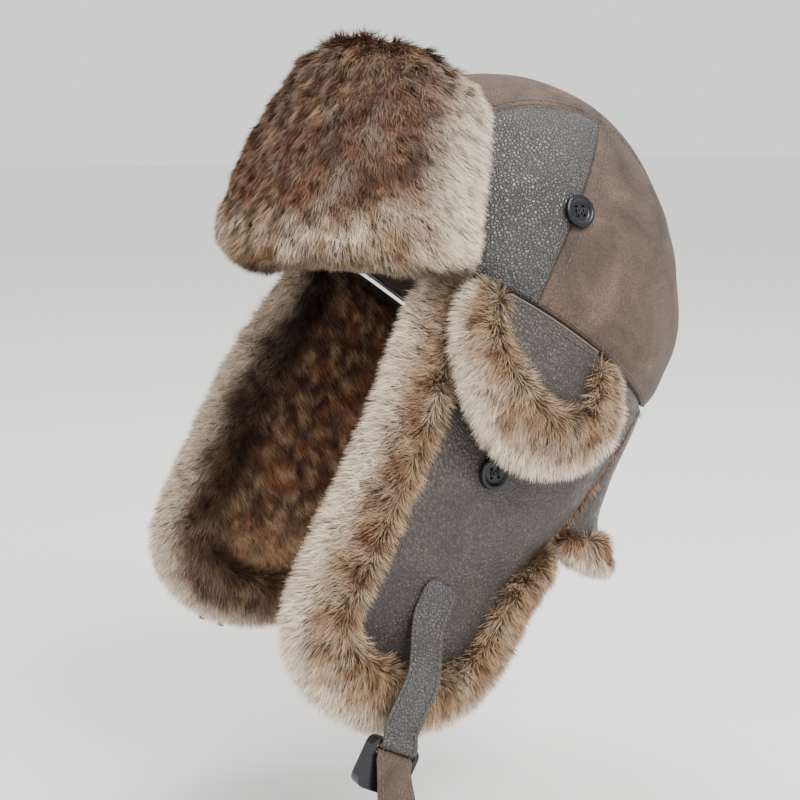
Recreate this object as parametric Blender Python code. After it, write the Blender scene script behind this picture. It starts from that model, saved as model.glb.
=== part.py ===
"""Trapper hat: leather crown, fur visor, ear flaps with ear covers, neck curtain and buckled chin straps.

Units are metres and +Z is up. The hat faces -Y, and the wearer's left is +X.
The origin is the centre of the head opening at the hat line.
"""

from math import asin, atan2, cos, pi, radians, sin, sqrt

import bmesh
import bpy
from mathutils import Matrix, Vector

# Crown: an elliptical plan under a rounded dome, with a lower edge that falls from the brow to the nape
CROWN_HALF_WIDTH = 0.090
CROWN_HALF_LENGTH = 0.110
CROWN_HEIGHT = 0.129
CROWN_SQUARENESS = 2.15
BROW_EDGE = 0.036
NAPE_EDGE = -0.046
BROW_END = radians(50)
NAPE_START = radians(140)
NAPE_TUCK = 0.020
STRIP_SPREAD = 0.40
SIDE_SEAM_TOP = radians(111)
SIDE_SEAM_FOOT = radians(76)

# Thicknesses of the layers, and the gaps between them
LEATHER = 0.0014
WADDING = 0.0035
LINING = 0.0012
SWEATBAND = 0.0015
SWEATBAND_HEIGHT = 0.030
GAP = 0.0003
SOFT_GAP = 0.0012
SEAM_DROP = 0.002

# Visor: a curved panel that stands up from the brow, with a deep pile on its outer side
VISOR_SPREAD = radians(57)
VISOR_FOOT = 0.040
VISOR_TOP = 0.134
VISOR_END_DROP = 0.026
VISOR_STANDOFF = 0.035
VISOR_LEAN = 0.36
STIFFENER = 0.0015
VISOR_PILE = 0.036
VISOR_THINNING = 0.45
VISOR_FOOT_SHARE = 0.84
VISOR_END_THINNING = 0.45
VISOR_ROLL = 0.012
VISOR_AXIS_OUT = 0.004

# Ear flaps, measured along the seam line (negative is forwards) and down from it
SEAM_SLOPE = radians(28.8)
FLAP_FRONT = 0.060
FLAP_REAR = 0.069
FLAP_TIP_FRONT = 0.056
FLAP_TIP_REAR = 0.021
FLAP_DROP_FRONT = 0.168
FLAP_DROP_REAR = 0.145
FLAP_SWAG = 0.027
FLAP_SPREAD = 0.088
REAR_CURL = 5.5
FRONT_CURL = 0.6
FLAP_EASE = 0.090
FLAP_PILE = 0.012
BORDER_WIDTHS = (0.031, 0.034, 0.022)
BORDER_OUT = 0.009
BORDER_START = 0.020
BORDER_RISE = 0.045
FLAP_AXIS_OUT = 0.020

# Ear covers, on the same seam
COVER_FRONT = 0.049
COVER_REAR = 0.008
COVER_DROP = 0.036
COVER_BORDERS = (0.022, 0.036, 0.020)
COVER_LIFT = 0.010
COVER_CLEAR = 0.0048
COVER_PROUD = 0.008
LOOP_PLACE = -0.022
LOOP_RADIUS = 0.0008
LOOP_SPREAD = 0.0045
LOOP_REACH = 0.062
COVER_AXIS_OUT = 0.014

# Neck curtain
CURTAIN_BACK = 0.054
CURTAIN_FOOT = -0.122
CURTAIN_GAP = 0.003
CURTAIN_TUCK = 0.012
CURTAIN_TUCK_FALL = 1.3
HEM_WIDTH = 0.020
HEM_PROUD = 0.006
CURTAIN_AXIS_OUT = 0.016

# Buttons, straps and the side-release buckle
BUTTON_RADIUS = 0.0084
BUTTON_THICK = 0.0032
BUTTON_HOLE = 0.0009
BUTTON_LIFT = 0.0010
FLAP_BUTTON = (-0.017, 0.080)
CROWN_BUTTON_RISE = 0.47
STRAP_WIDTH = 0.020
STRAP_THICK = 0.0018
STRAP_PLACE = -0.016
STRAP_TOP = 0.138
STRAP_BEND = 0.173
STRAP_LENGTH = 0.037
PLUG_STRAP_LENGTH = 0.022
STRAP_STANDOFF = 0.0175
STRAP_RISE = 0.013
TAIL_LENGTH = 0.085
TAIL_BOW = 0.004
TAIL_SWING = 0.006
BUCKLE_WIDTH = 0.027
BUCKLE_HEIGHT = 0.024
BUCKLE_THICK = 0.0066
BUCKLE_WALL = 0.0022
BUCKLE_CORNER = 0.004
BUCKLE_GAP = 0.0028
SLOT_HEIGHT = 0.0046
PRONG_LENGTH = 0.017
PRONG_WIDTH = 0.0042

# Grid divisions
STRIP_COLUMNS = 4
FRONT_RUNS = 8
REAR_RUNS = 8
PANEL_ROWS = 5
VISOR_COLUMNS = 14
VISOR_ROWS = 5
FLAP_COLUMNS = 8
FLAP_ROWS = 10
COVER_COLUMNS = 6
COVER_ROWS = 4
CURTAIN_COLUMNS = 12
CURTAIN_ROWS = 4
ROUND_SIDES = 20
BAND_SIDES = 40
HOLE_SIDES = 6
STRAP_STEPS = 10
TAIL_STEPS = 8


def clear_scene():
    for item in list(bpy.data.objects):
        bpy.data.objects.remove(item)


def material(name, colour, roughness, metallic=0.0):
    made = bpy.data.materials.get(name) or bpy.data.materials.new(name)
    made.use_nodes = True
    shader = made.node_tree.nodes["Principled BSDF"]
    shader.inputs["Base Color"].default_value = (*colour, 1.0)
    shader.inputs["Roughness"].default_value = roughness
    shader.inputs["Metallic"].default_value = metallic
    return made


def gloss_leather():
    return material("gloss_leather", (0.105, 0.085, 0.072), 0.38)


def matte_leather():
    return material("matte_leather", (0.150, 0.115, 0.090), 0.62)


def fur():
    return material("fur", (0.330, 0.225, 0.150), 0.95)


def wadding_felt():
    return material("wadding", (0.60, 0.58, 0.54), 0.95)


def lining_cloth():
    return material("lining", (0.060, 0.045, 0.040), 0.55)


def black_plastic():
    return material("black_plastic", (0.012, 0.013, 0.018), 0.22)


# ---------------------------------------------------------------- building blocks


def finish(name, mesh, finish_material, sharp=40):
    """Closes a bmesh into a named object with outward faces, smooth shading and its material."""
    bmesh.ops.remove_doubles(mesh, verts=mesh.verts, dist=1e-6)
    bmesh.ops.dissolve_degenerate(mesh, edges=mesh.edges, dist=1e-6)
    bmesh.ops.recalc_face_normals(mesh, faces=mesh.faces)
    data = bpy.data.meshes.new(name)
    mesh.to_mesh(data)
    mesh.free()
    data.shade_smooth()
    data.set_sharp_from_angle(angle=radians(sharp))
    data.materials.append(finish_material)
    made = bpy.data.objects.new(name, data)
    bpy.context.scene.collection.objects.link(made)
    return made


def add_grid(mesh, grid):
    """Adds a grid of points and its quads, and returns the grid of vertices."""
    verts = [[mesh.verts.new(point) for point in row] for row in grid]
    for low, high in zip(verts, verts[1:]):
        for k in range(len(low) - 1):
            mesh.faces.new((low[k], low[k + 1], high[k + 1], high[k]))
    return verts


def rim(verts):
    """The boundary of a grid of vertices, once round."""
    right = [row[-1] for row in verts[1:-1]]
    left = [row[0] for row in verts[1:-1]]
    return verts[0] + right + verts[-1][::-1] + left[::-1]


def plate(name, front, back, finish_material):
    """A solid between two grids of the same size."""
    mesh = bmesh.new()
    outer = rim(add_grid(mesh, front))
    inner = rim(add_grid(mesh, back))
    for k in range(len(outer)):
        after = (k + 1) % len(outer)
        mesh.faces.new((outer[k], outer[after], inner[after], inner[k]))
    return finish(name, mesh, finish_material)


def tube(name, sections, finish_material):
    """A solid through a row of sections with the same number of points, flat at both ends."""
    mesh = bmesh.new()
    rings = [[mesh.verts.new(point) for point in section] for section in sections]
    for low, high in zip(rings, rings[1:]):
        for k in range(len(low)):
            after = (k + 1) % len(low)
            mesh.faces.new((low[k], low[after], high[after], high[k]))
    mesh.faces.new(rings[0])
    mesh.faces.new(rings[-1])
    return finish(name, mesh, finish_material)


def normals(grid):
    """A unit normal at each point of a grid, from its neighbours."""
    rows, columns = len(grid), len(grid[0])
    found = []
    for i in range(rows):
        row = []
        for k in range(columns):
            down = grid[min(i + 1, rows - 1)][k] - grid[max(i - 1, 0)][k]
            across = grid[i][min(k + 1, columns - 1)] - grid[i][max(k - 1, 0)]
            row.append(across.cross(down).normalized())
        found.append(row)
    return found


def offset(grid, along, distance):
    """The grid moved along its normals, by one distance or by one for each row."""
    reach = distance if isinstance(distance, list) else [distance] * len(grid)
    return [[p + n * reach[i] for p, n in zip(row, line)] for i, (row, line) in enumerate(zip(grid, along))]


def mirrored(points, side):
    """Points of the left side, or their mirror image for side -1."""
    return [Vector((side * p.x, p.y, p.z)) for p in points]


def mirrored_grid(grid, side):
    return [mirrored(row, side) for row in grid]


def mix(low, high, share):
    return low + (high - low) * share


def smooth(share):
    held = min(max(share, 0.0), 1.0)
    return held * held * (3 - 2 * held)


def bezier(a, b, c, d, share):
    rest = 1 - share
    return tuple(
        rest**3 * p + 3 * rest**2 * share * q + 3 * rest * share**2 * r + share**3 * s
        for p, q, r, s in zip(a, b, c, d)
    )


def patch(top, bottom, front, rear, rows, columns):
    """A Coons patch between four edge functions of a share: top and bottom run front to rear."""
    grid = []
    for i in range(rows + 1):
        r = i / rows
        row = []
        for k in range(columns + 1):
            c = k / columns
            ruled = mix(Vector(top(c)), Vector(bottom(c)), r) + mix(Vector(front(r)), Vector(rear(r)), c)
            low = mix(Vector(top(0)), Vector(top(1)), c)
            high = mix(Vector(bottom(0)), Vector(bottom(1)), c)
            row.append(ruled - mix(low, high, r))
        grid.append(row)
    return grid


def world_place(empty):
    """Where an unturned empty is, under its unturned parents."""
    return empty.location + (world_place(empty.parent) if empty.parent else Vector())


def pivot(name, place, parent=None):
    """An empty on a joint's axis, under its parent's empty."""
    made = bpy.data.objects.new(name, None)
    made.empty_display_size = 0.02
    made.location = Vector(place) - (world_place(parent) if parent else Vector())
    made.parent = parent
    bpy.context.scene.collection.objects.link(made)
    return made


def hang(pieces, parent):
    """Parents pieces to a joint's empty and leaves them where they are."""
    place = world_place(parent)
    for piece in pieces:
        piece.data.transform(Matrix.Translation(-place))
        piece.parent = parent


def cut(piece, cutter):
    """Takes a cutter's shape out of a piece for good."""
    cutter.hide_render = True
    cutter.display_type = "WIRE"
    boolean = piece.modifiers.new(cutter.name, "BOOLEAN")
    boolean.operation = "DIFFERENCE"
    boolean.solver = "EXACT"
    boolean.object = cutter


# ---------------------------------------------------------------- crown


def edge_height(angle):
    """Height of the crown's lower edge, where angle is 0 at the brow and pi at the nape."""
    turn = min(abs(angle), 2 * pi - abs(angle))
    return mix(BROW_EDGE, NAPE_EDGE, smooth((turn - BROW_END) / (NAPE_START - BROW_END)))


def tuck_share(frontness):
    """How far the crown draws in at the nape edge, as a share of its plan."""
    return NAPE_TUCK / CROWN_HALF_LENGTH * ((1 - frontness) / 2) ** 1.5


def wall_point(angle, height):
    """A point on the crown's outside at a plan angle and a height."""
    if height >= 0:
        share = (1 - (height / CROWN_HEIGHT) ** CROWN_SQUARENESS) ** (1 / CROWN_SQUARENESS)
    else:
        share = 1 - tuck_share(cos(angle)) * (height / NAPE_EDGE) ** 2
    return Vector((CROWN_HALF_WIDTH * share * sin(angle), -CROWN_HALF_LENGTH * share * cos(angle), height))


def edge_point(angle):
    return wall_point(angle, edge_height(angle))


def crown_point(direction, depth=0.0):
    """The point at a depth under the crown's outside, along a direction from the origin."""
    way = direction.normalized()
    plan = sqrt((way.x / CROWN_HALF_WIDTH) ** 2 + (way.y / CROWN_HALF_LENGTH) ** 2)
    if way.z >= 0:
        power = CROWN_SQUARENESS
        reach = (plan**power + (way.z / CROWN_HEIGHT) ** power) ** (-1 / power)
    else:
        tuck = tuck_share(-way.y / CROWN_HALF_LENGTH / plan) * (way.z / NAPE_EDGE) ** 2
        reach = (sqrt(plan**2 + 4 * tuck) - plan) / (2 * tuck) if tuck > 1e-9 else 1 / plan
    return way * (reach - depth)


def strip_direction(run, across):
    """A direction on the centre strip: run turns from the front over the top, across is 1 at the seam."""
    return Vector((STRIP_SPREAD * across, -cos(run), sin(run)))


def strip_end(across, height, rear):
    """The run at which the strip meets its lower edge."""
    run = pi if rear else 0.0
    for _ in range(20):
        way = strip_direction(run, across)
        rise = asin(height * way.length / crown_point(way).length)
        run = pi - rise if rear else rise
    return run


def strip_runs(across):
    """The runs of the strip's rows, which its neighbours share."""
    front, rear = strip_end(across, BROW_EDGE, False), strip_end(across, NAPE_EDGE, True)
    ahead = [mix(front, SIDE_SEAM_TOP, k / FRONT_RUNS) for k in range(FRONT_RUNS)]
    return ahead + [mix(SIDE_SEAM_TOP, rear, k / REAR_RUNS) for k in range(REAR_RUNS + 1)]


def strip_grid(depth, spread=1.0):
    places = [spread * (2 * k / STRIP_COLUMNS - 1) for k in range(STRIP_COLUMNS + 1)]
    runs = [strip_runs(across) for across in places]
    count = len(runs[0])
    grid = []
    for i in range(count):
        ways = [strip_direction(line[i], across) for line, across in zip(runs, places)]
        grid.append([crown_point(way, depth) for way in ways])
    return grid


def plan_angle(point):
    return atan2(point.x / CROWN_HALF_WIDTH, -point.y / CROWN_HALF_LENGTH)


def side_grid(rear, depth, clearance=0.0):
    """A side panel's grid: rows from the lower edge up to the strip's seam, on the left side."""
    across = 1 + clearance / (CROWN_HALF_WIDTH / 2)
    half = clearance / 2 / CROWN_HALF_WIDTH
    runs = strip_runs(across)
    runs = runs[FRONT_RUNS:] if rear else runs[: FRONT_RUNS + 1]
    feet = [plan_angle(crown_point(strip_direction(run, across))) for run in (runs[0], runs[-1])]
    ends = (SIDE_SEAM_FOOT + half, feet[1]) if rear else (feet[0], SIDE_SEAM_FOOT - half)
    if rear:
        runs[0] += half
    else:
        runs[-1] -= half
    grid = []
    for i in range(PANEL_ROWS + 1):
        row = []
        for k, run in enumerate(runs):
            foot = edge_point(mix(*ends, k / (len(runs) - 1))).normalized()
            head = strip_direction(run, across).normalized()
            row.append(crown_point(mix(foot, head, i / PANEL_ROWS), depth))
        grid.append(row)
    return grid


def crown_leather():
    """The centre strip and the four side panels."""
    made = [plate("crown_center_strip", strip_grid(0), strip_grid(LEATHER), matte_leather())]
    for side, word in ((1, "left"), (-1, "right")):
        for rear, place in ((False, "front"), (True, "rear")):
            finish_material = matte_leather() if rear else gloss_leather()
            grids = [mirrored_grid(side_grid(rear, depth, GAP), side) for depth in (0, LEATHER)]
            made.append(plate(f"crown_{place}_panel_{word}", *grids, finish_material))
    return made


def dome_layer(name, depth, thickness, finish_material):
    """A dome under the leather, on the same grid, so that the gap between them is even."""
    mesh = bmesh.new()
    for under in (depth, depth + thickness):
        add_grid(mesh, strip_grid(under))
        for side in (1, -1):
            for rear in (False, True):
                add_grid(mesh, mirrored_grid(side_grid(rear, under), side))
    bmesh.ops.remove_doubles(mesh, verts=mesh.verts, dist=1e-5)
    edges = [edge for edge in mesh.edges if edge.is_boundary]
    bmesh.ops.bridge_loops(mesh, edges=edges)
    return finish(name, mesh, finish_material)


def sweatband(depth):
    """A ring inside the lining, along the lower edge."""
    count = BAND_SIDES
    mesh = bmesh.new()
    loops = []
    for under, rise in ((depth, 0.0), (depth, 1.0), (depth + SWEATBAND, 1.0), (depth + SWEATBAND, 0.0)):
        ring = []
        for k in range(count):
            angle = 2 * pi * k / count - pi
            place = wall_point(angle, edge_height(angle) + SEAM_DROP + SWEATBAND_HEIGHT * rise)
            ring.append(mesh.verts.new(crown_point(place, under)))
        loops.append(ring)
    for low, high in zip(loops, loops[1:] + loops[:1]):
        for k in range(count):
            after = (k + 1) % count
            mesh.faces.new((low[k], low[after], high[after], high[k]))
    return finish("sweatband", mesh, lining_cloth())


# ---------------------------------------------------------------- visor


def visor_point(angle, rise):
    """A point on the visor's inner face: rise is 0 at the fold and 1 at the top edge."""
    end = abs(angle) / VISOR_SPREAD
    top = VISOR_TOP - VISOR_END_DROP * end**3
    share = 1 + VISOR_STANDOFF - VISOR_LEAN * rise**1.6
    return Vector(
        (
            CROWN_HALF_WIDTH * share * sin(angle),
            -CROWN_HALF_LENGTH * share * cos(angle),
            mix(VISOR_FOOT, top, rise),
        )
    )


def visor_grid():
    angles = [mix(-VISOR_SPREAD, VISOR_SPREAD, k / VISOR_COLUMNS) for k in range(VISOR_COLUMNS + 1)]
    return [[visor_point(angle, i / VISOR_ROWS) for angle in angles] for i in range(VISOR_ROWS + 1)]


def visor_section(column, along, depth):
    """The pile's outline in one upright section, from the top edge down the outside and round the roll."""
    foot, top = column[0], column[-1]
    up = (column[-1] - column[-2]).normalized()
    down = (column[0] - column[1]).normalized()
    inner = [p + n * (LEATHER + STIFFENER + 2 * GAP) for p, n in zip(column, along)]
    crest = top + up * 0.25 * depth + along[-1] * 0.3 * depth
    thins = [1 - VISOR_THINNING * i / VISOR_ROWS for i in range(VISOR_ROWS + 1)]
    thins[0] = VISOR_FOOT_SHARE
    outer = [p + n * depth * thin for p, n, thin in zip(column, along, thins)]
    roll = [
        foot + along[0] * depth * 0.84 + down * 0.2 * VISOR_ROLL,
        foot + along[0] * depth * 0.62 + down * VISOR_ROLL * 0.85,
        foot + along[0] * depth * 0.30 + down * VISOR_ROLL * 0.85,
    ]
    return inner + [crest] + outer[:0:-1] + roll


def away_from_axis(grid):
    """Normals of a sheet that point away from the upright axis through the origin."""
    found = []
    for points, line in zip(grid, normals(grid)):
        found.append([n if n.x * p.x + n.y * p.y > 0 else -n for p, n in zip(points, line)])
    return found


def visor():
    """The visor's leather back, its stiffener and its pile."""
    grid = visor_grid()
    out = away_from_axis(grid)
    layers = [offset(grid, out, reach) for reach in (0, LEATHER, LEATHER + GAP, LEATHER + GAP + STIFFENER)]
    back = plate("visor_leather", layers[1], layers[0], matte_leather())
    stiffener = plate("visor_stiffener", layers[3], layers[2], wadding_felt())
    sections = []
    for k in range(VISOR_COLUMNS + 1):
        end = abs(2 * k / VISOR_COLUMNS - 1)
        depth = VISOR_PILE * (1 - VISOR_END_THINNING * end**6)
        sections.append(visor_section([row[k] for row in grid], [row[k] for row in out], depth))
    pile = tube("visor_fur", sections, fur())
    return [back, stiffener, pile]


# ---------------------------------------------------------------- ear flaps


def seam_angle(place):
    """The plan angle at which the crown's lower edge has this distance along the seam line."""
    low, high = radians(20), radians(165)
    for _ in range(40):
        middle = (low + high) / 2
        point = edge_point(middle)
        if cos(SEAM_SLOPE) * point.y - sin(SEAM_SLOPE) * point.z < place:
            low = middle
        else:
            high = middle
    return low


def flap_point(place, drop):
    """A point on the left flap's outside, at a distance along the seam line and down from it."""
    seam = edge_point(seam_angle(place))
    hung = FLAP_SPREAD - REAR_CURL * max(place, 0) ** 2 - FRONT_CURL * min(place, 0) ** 2
    return Vector(
        (
            mix(seam.x, hung, smooth(drop / FLAP_EASE)),
            seam.y - sin(SEAM_SLOPE) * drop,
            seam.z - cos(SEAM_SLOPE) * drop,
        )
    )


def flap_drop(point):
    """How far down from the seam line a point of the flap lies."""
    return -sin(SEAM_SLOPE) * point.y - cos(SEAM_SLOPE) * point.z


def flap_axes(place, drop):
    """Unit vectors on the left flap: backwards along the seam, down from it, and outwards."""
    step = 0.001
    back = flap_point(place + step, drop) - flap_point(place - step, drop)
    down = flap_point(place, drop + step) - flap_point(place, drop - step)
    out = back.cross(down).normalized()
    return back.normalized(), down.normalized(), out if out.x > 0 else -out


def lifted(place, drop, height):
    """A point over the left flap's outside."""
    return flap_point(place, drop) + flap_axes(place, drop)[2] * height


def flap_front(share):
    return mix(-FLAP_FRONT, -FLAP_TIP_FRONT, share), mix(SEAM_DROP, FLAP_DROP_FRONT, share)


def flap_rear(share):
    top, tip = (FLAP_REAR, SEAM_DROP), (FLAP_TIP_REAR, FLAP_DROP_REAR)
    knee = (mix(FLAP_REAR, FLAP_TIP_REAR, 0.25), FLAP_DROP_REAR * 0.66)
    return bezier(top, knee, (FLAP_TIP_REAR, FLAP_DROP_REAR * 0.70), tip, share)


def flap_bottom(share):
    front, rear = flap_front(1), flap_rear(1)
    low = FLAP_DROP_FRONT + FLAP_SWAG
    return bezier(front, (front[0] + 0.004, low), (rear[0] - 0.003, low - 0.004), rear, share)


def flap_top(share):
    return mix(-FLAP_FRONT, FLAP_REAR, share), SEAM_DROP


def flap_grid():
    flat = patch(flap_top, flap_bottom, flap_front, flap_rear, FLAP_ROWS, FLAP_COLUMNS)
    return [[flap_point(place, drop) for place, drop in row] for row in flat]


def border_section(base, out, away, width, proud, under, share=1.0):
    """The outline of a fur edge: out is the sheet's normal, away points off the sheet's edge."""
    outline = (
        (SOFT_GAP, -under),
        (0.5 * width, -under),
        (0.85 * width, -0.7 * under),
        (width, 0.1 * (proud - under)),
        (0.88 * width, 0.75 * proud),
        (0.5 * width, 1.2 * proud),
        (SOFT_GAP, proud),
    )
    return [base + away * mix(SOFT_GAP, e, share) + out * n for e, n in outline]


def edge_keys(grid, rear_start):
    """The grid places down a sheet's front edge, along its bottom and up its rear edge."""
    last, wide = len(grid) - 1, len(grid[0]) - 1
    front = [(i, 0) for i in range(1, last)]
    bottom = [(last, k) for k in range(wide + 1)]
    return front + bottom + [(i, wide) for i in range(last - 1, rear_start - 1, -1)]


def edge_path(grid, along, keys):
    """Points, normals and directions off the sheet, along its edge."""
    places = [grid[i][k] for i, k in keys]
    middle = grid[len(grid) // 2][len(grid[0]) // 2]
    path = []
    for k, (i, j) in enumerate(keys):
        run = places[min(k + 1, len(places) - 1)] - places[max(k - 1, 0)]
        away = run.cross(along[i][j]).normalized()
        path.append((places[k], along[i][j], away if away.dot(places[k] - middle) > 0 else -away))
    return path


def width_at(widths, share):
    """A width that goes from the front one over the bottom one to the rear one."""
    front, bottom, rear = widths
    return mix(front, bottom, smooth(2 * share)) if share < 0.5 else mix(bottom, rear, smooth(2 * share - 1))


def fur_border(name, path, widths, proud, under, side):
    """A fur edge along a path of (point, normal, away), with a height and a depth at each point."""
    sections = []
    for k, (place, out, away) in enumerate(path):
        share = 0.7 if k in (0, len(path) - 1) else 1.0
        width = width_at(widths, k / (len(path) - 1))
        outline = border_section(place, out, away, width, proud[k], under[k], share)
        sections.append(mirrored(outline, side))
    return tube(name, sections, fur())


def ear_flap(side, word):
    """The flap's leather, the fur inside it and the fur round its free edges."""
    grid = flap_grid()
    along = away_from_axis(grid)
    depths = (0, LEATHER, LEATHER + GAP, LEATHER + FLAP_PILE)
    layers = [mirrored_grid(offset(grid, along, -depth), side) for depth in depths]
    leather = plate(f"ear_flap_leather_{word}", layers[0], layers[1], matte_leather())
    lining = plate(f"ear_flap_fur_lining_{word}", layers[2], layers[3], fur())
    keys = edge_keys(grid, CURTAIN_ROWS + 1)
    path = edge_path(grid, along, keys)
    drops = [flap_drop(place) for place, _, _ in path]
    rises = [smooth((drop - BORDER_START) / BORDER_RISE) for drop in drops]
    proud = [mix(GAP, BORDER_OUT, rise) for rise in rises]
    under = [LEATHER + FLAP_PILE] * len(path)
    border = fur_border(f"ear_flap_fur_border_{word}", path, BORDER_WIDTHS, proud, under, side)
    return [leather, lining, border]


# ---------------------------------------------------------------- ear covers


def cover_lift(drop):
    """How far the cover's leather stands off the flap's."""
    return 2 * SEAM_DROP + COVER_LIFT * smooth(drop / COVER_DROP)


def cover_top(share):
    return mix(-COVER_FRONT, COVER_REAR, share), SEAM_DROP


def cover_front(share):
    return -COVER_FRONT, mix(SEAM_DROP, 0.45 * COVER_DROP, share)


def cover_rear(share):
    return COVER_REAR, mix(SEAM_DROP, 0.75 * COVER_DROP, share)


def cover_bottom(share):
    ahead, behind = (-0.85 * COVER_FRONT, 1.15 * COVER_DROP), (0.5 * COVER_REAR, 1.35 * COVER_DROP)
    return bezier(cover_front(1), ahead, behind, cover_rear(1), share)


def cover_flat():
    return patch(cover_top, cover_bottom, cover_front, cover_rear, COVER_ROWS, COVER_COLUMNS)


def cover_layer(flat, height):
    """The cover's grid at a height over the flap, which is a function of the drop."""
    sheet = [[flap_point(place, drop) for place, drop in row] for row in flat]
    grid = []
    for row, line, spots in zip(sheet, away_from_axis(sheet), flat):
        grid.append([p + n * height(drop) for p, n, (_, drop) in zip(row, line, spots)])
    return grid


def ear_cover(side, word):
    """The cover's leather, the fur inside it, the fur round its edge and its elastic loop."""
    flat = cover_flat()
    heights = (
        lambda drop: cover_lift(drop) + LEATHER,
        cover_lift,
        lambda drop: cover_lift(drop) - GAP,
        lambda drop: SOFT_GAP,
    )
    layers = [cover_layer(flat, height) for height in heights]
    sided = [mirrored_grid(layer, side) for layer in layers]
    leather = plate(f"ear_cover_leather_{word}", sided[0], sided[1], matte_leather())
    lining = plate(f"ear_cover_fur_lining_{word}", sided[2], sided[3], fur())
    keys = edge_keys(layers[0], 1)
    path = edge_path(layers[0], away_from_axis(layers[0]), keys)
    under = [cover_lift(flat[i][k][1]) + LEATHER - COVER_CLEAR for i, k in keys]
    proud = [COVER_PROUD] * len(path)
    border = fur_border(f"ear_cover_fur_border_{word}", path, COVER_BORDERS, proud, under, side)
    return [leather, lining, border, cover_loop(side, word)]


def cover_loop(side, word):
    """A hairpin of elastic cord under the fur, which hooks over either button."""
    height = SOFT_GAP + LOOP_RADIUS + GAP
    start = 1.25 * COVER_DROP
    bend = LOOP_REACH - LOOP_SPREAD
    spots = [(LOOP_PLACE - LOOP_SPREAD, mix(start, bend, k / 3)) for k in range(3)]
    for turn in [pi * k / 6 for k in range(7)]:
        spots.append((LOOP_PLACE - LOOP_SPREAD * cos(turn), bend + LOOP_SPREAD * sin(turn)))
    spots += [(LOOP_PLACE + LOOP_SPREAD, mix(start, bend, k / 3)) for k in (2, 1, 0)]
    points = [lifted(place, drop, height) for place, drop in spots]
    sections = []
    for k, point in enumerate(points):
        run = points[min(k + 1, len(points) - 1)] - points[max(k - 1, 0)]
        sections.append(mirrored(turned_section(point, run, flap_axes(*spots[k])[2]), side))
    return tube(f"ear_cover_loop_{word}", sections, black_plastic())


def turned_section(centre, run, out):
    """A six-sided section across a run, with one corner along out."""
    away = run.cross(out).normalized()
    turns = [pi * k / 3 for k in range(6)]
    return [centre + LOOP_RADIUS * (out * cos(turn) + away * sin(turn)) for turn in turns]


# ---------------------------------------------------------------- neck curtain


def curtain_end(share):
    """The curtain's left edge, which runs beside the flap's rear edge."""
    place, drop = flap_rear(share * CURTAIN_ROWS / FLAP_ROWS)
    return flap_point(place + CURTAIN_GAP, drop)


def curtain_far_end(share):
    return mirrored([curtain_end(share)], -1)[0]


def curtain_top(share):
    """Just under the crown's edge, from the left flap round the nape to the right flap."""
    start = seam_angle(FLAP_REAR + CURTAIN_GAP)
    return edge_point(mix(start, 2 * pi - start, share)) - Vector((0, 0, SEAM_DROP))


def curtain_bottom(share):
    """The hem line, which draws in towards the neck."""
    end = curtain_end(1)
    swell = sin(pi * share) ** 0.8
    return Vector((end.x * cos(pi * share), mix(end.y, CURTAIN_BACK, swell), mix(end.z, CURTAIN_FOOT, swell)))


def curtain_grid():
    """The curtain's outside, drawn in towards the neck between its edges."""
    grid = patch(curtain_top, curtain_bottom, curtain_end, curtain_far_end, CURTAIN_ROWS, CURTAIN_COLUMNS)
    for row, points in enumerate(grid):
        fall = sin(pi * (row / CURTAIN_ROWS) ** CURTAIN_TUCK_FALL)
        for column, point in enumerate(points):
            point.y -= CURTAIN_TUCK * fall * max(sin(pi * column / CURTAIN_COLUMNS), 0) ** 0.8
    return grid


def neck_curtain():
    """The curtain's leather, the fur inside it and the fur hem."""
    grid = curtain_grid()
    along = away_from_axis(grid)
    layers = [offset(grid, along, -depth) for depth in (0, LEATHER, LEATHER + GAP, LEATHER + FLAP_PILE)]
    leather = plate("neck_curtain_leather", layers[0], layers[1], matte_leather())
    lining = plate("neck_curtain_fur_lining", layers[2], layers[3], fur())
    keys = [(CURTAIN_ROWS, k) for k in range(1, CURTAIN_COLUMNS)]
    path = edge_path(grid, along, keys)
    proud, under = [HEM_PROUD] * len(path), [LEATHER + FLAP_PILE] * len(path)
    hem = fur_border("neck_curtain_fur_hem", path, [HEM_WIDTH] * 3, proud, under, 1)
    return [leather, lining, hem]


# ---------------------------------------------------------------- buttons


def turned(name, profile, place, axis, finish_material):
    """A solid turned round an axis from a profile of (radius, height)."""
    mesh = bmesh.new()
    facing = axis.to_track_quat("Z", "Y").to_matrix().to_4x4()
    facing.translation = place
    rings = []
    for radius, height in profile:
        turns = [2 * pi * k / ROUND_SIDES for k in range(ROUND_SIDES)]
        places = [facing @ Vector((radius * cos(turn), radius * sin(turn), height)) for turn in turns]
        rings.append([mesh.verts.new(spot) for spot in places])
    for low, high in zip(rings, rings[1:]):
        for k in range(ROUND_SIDES):
            after = (k + 1) % ROUND_SIDES
            mesh.faces.new((low[k], low[after], high[after], high[k]))
    return finish(name, mesh, finish_material)


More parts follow.
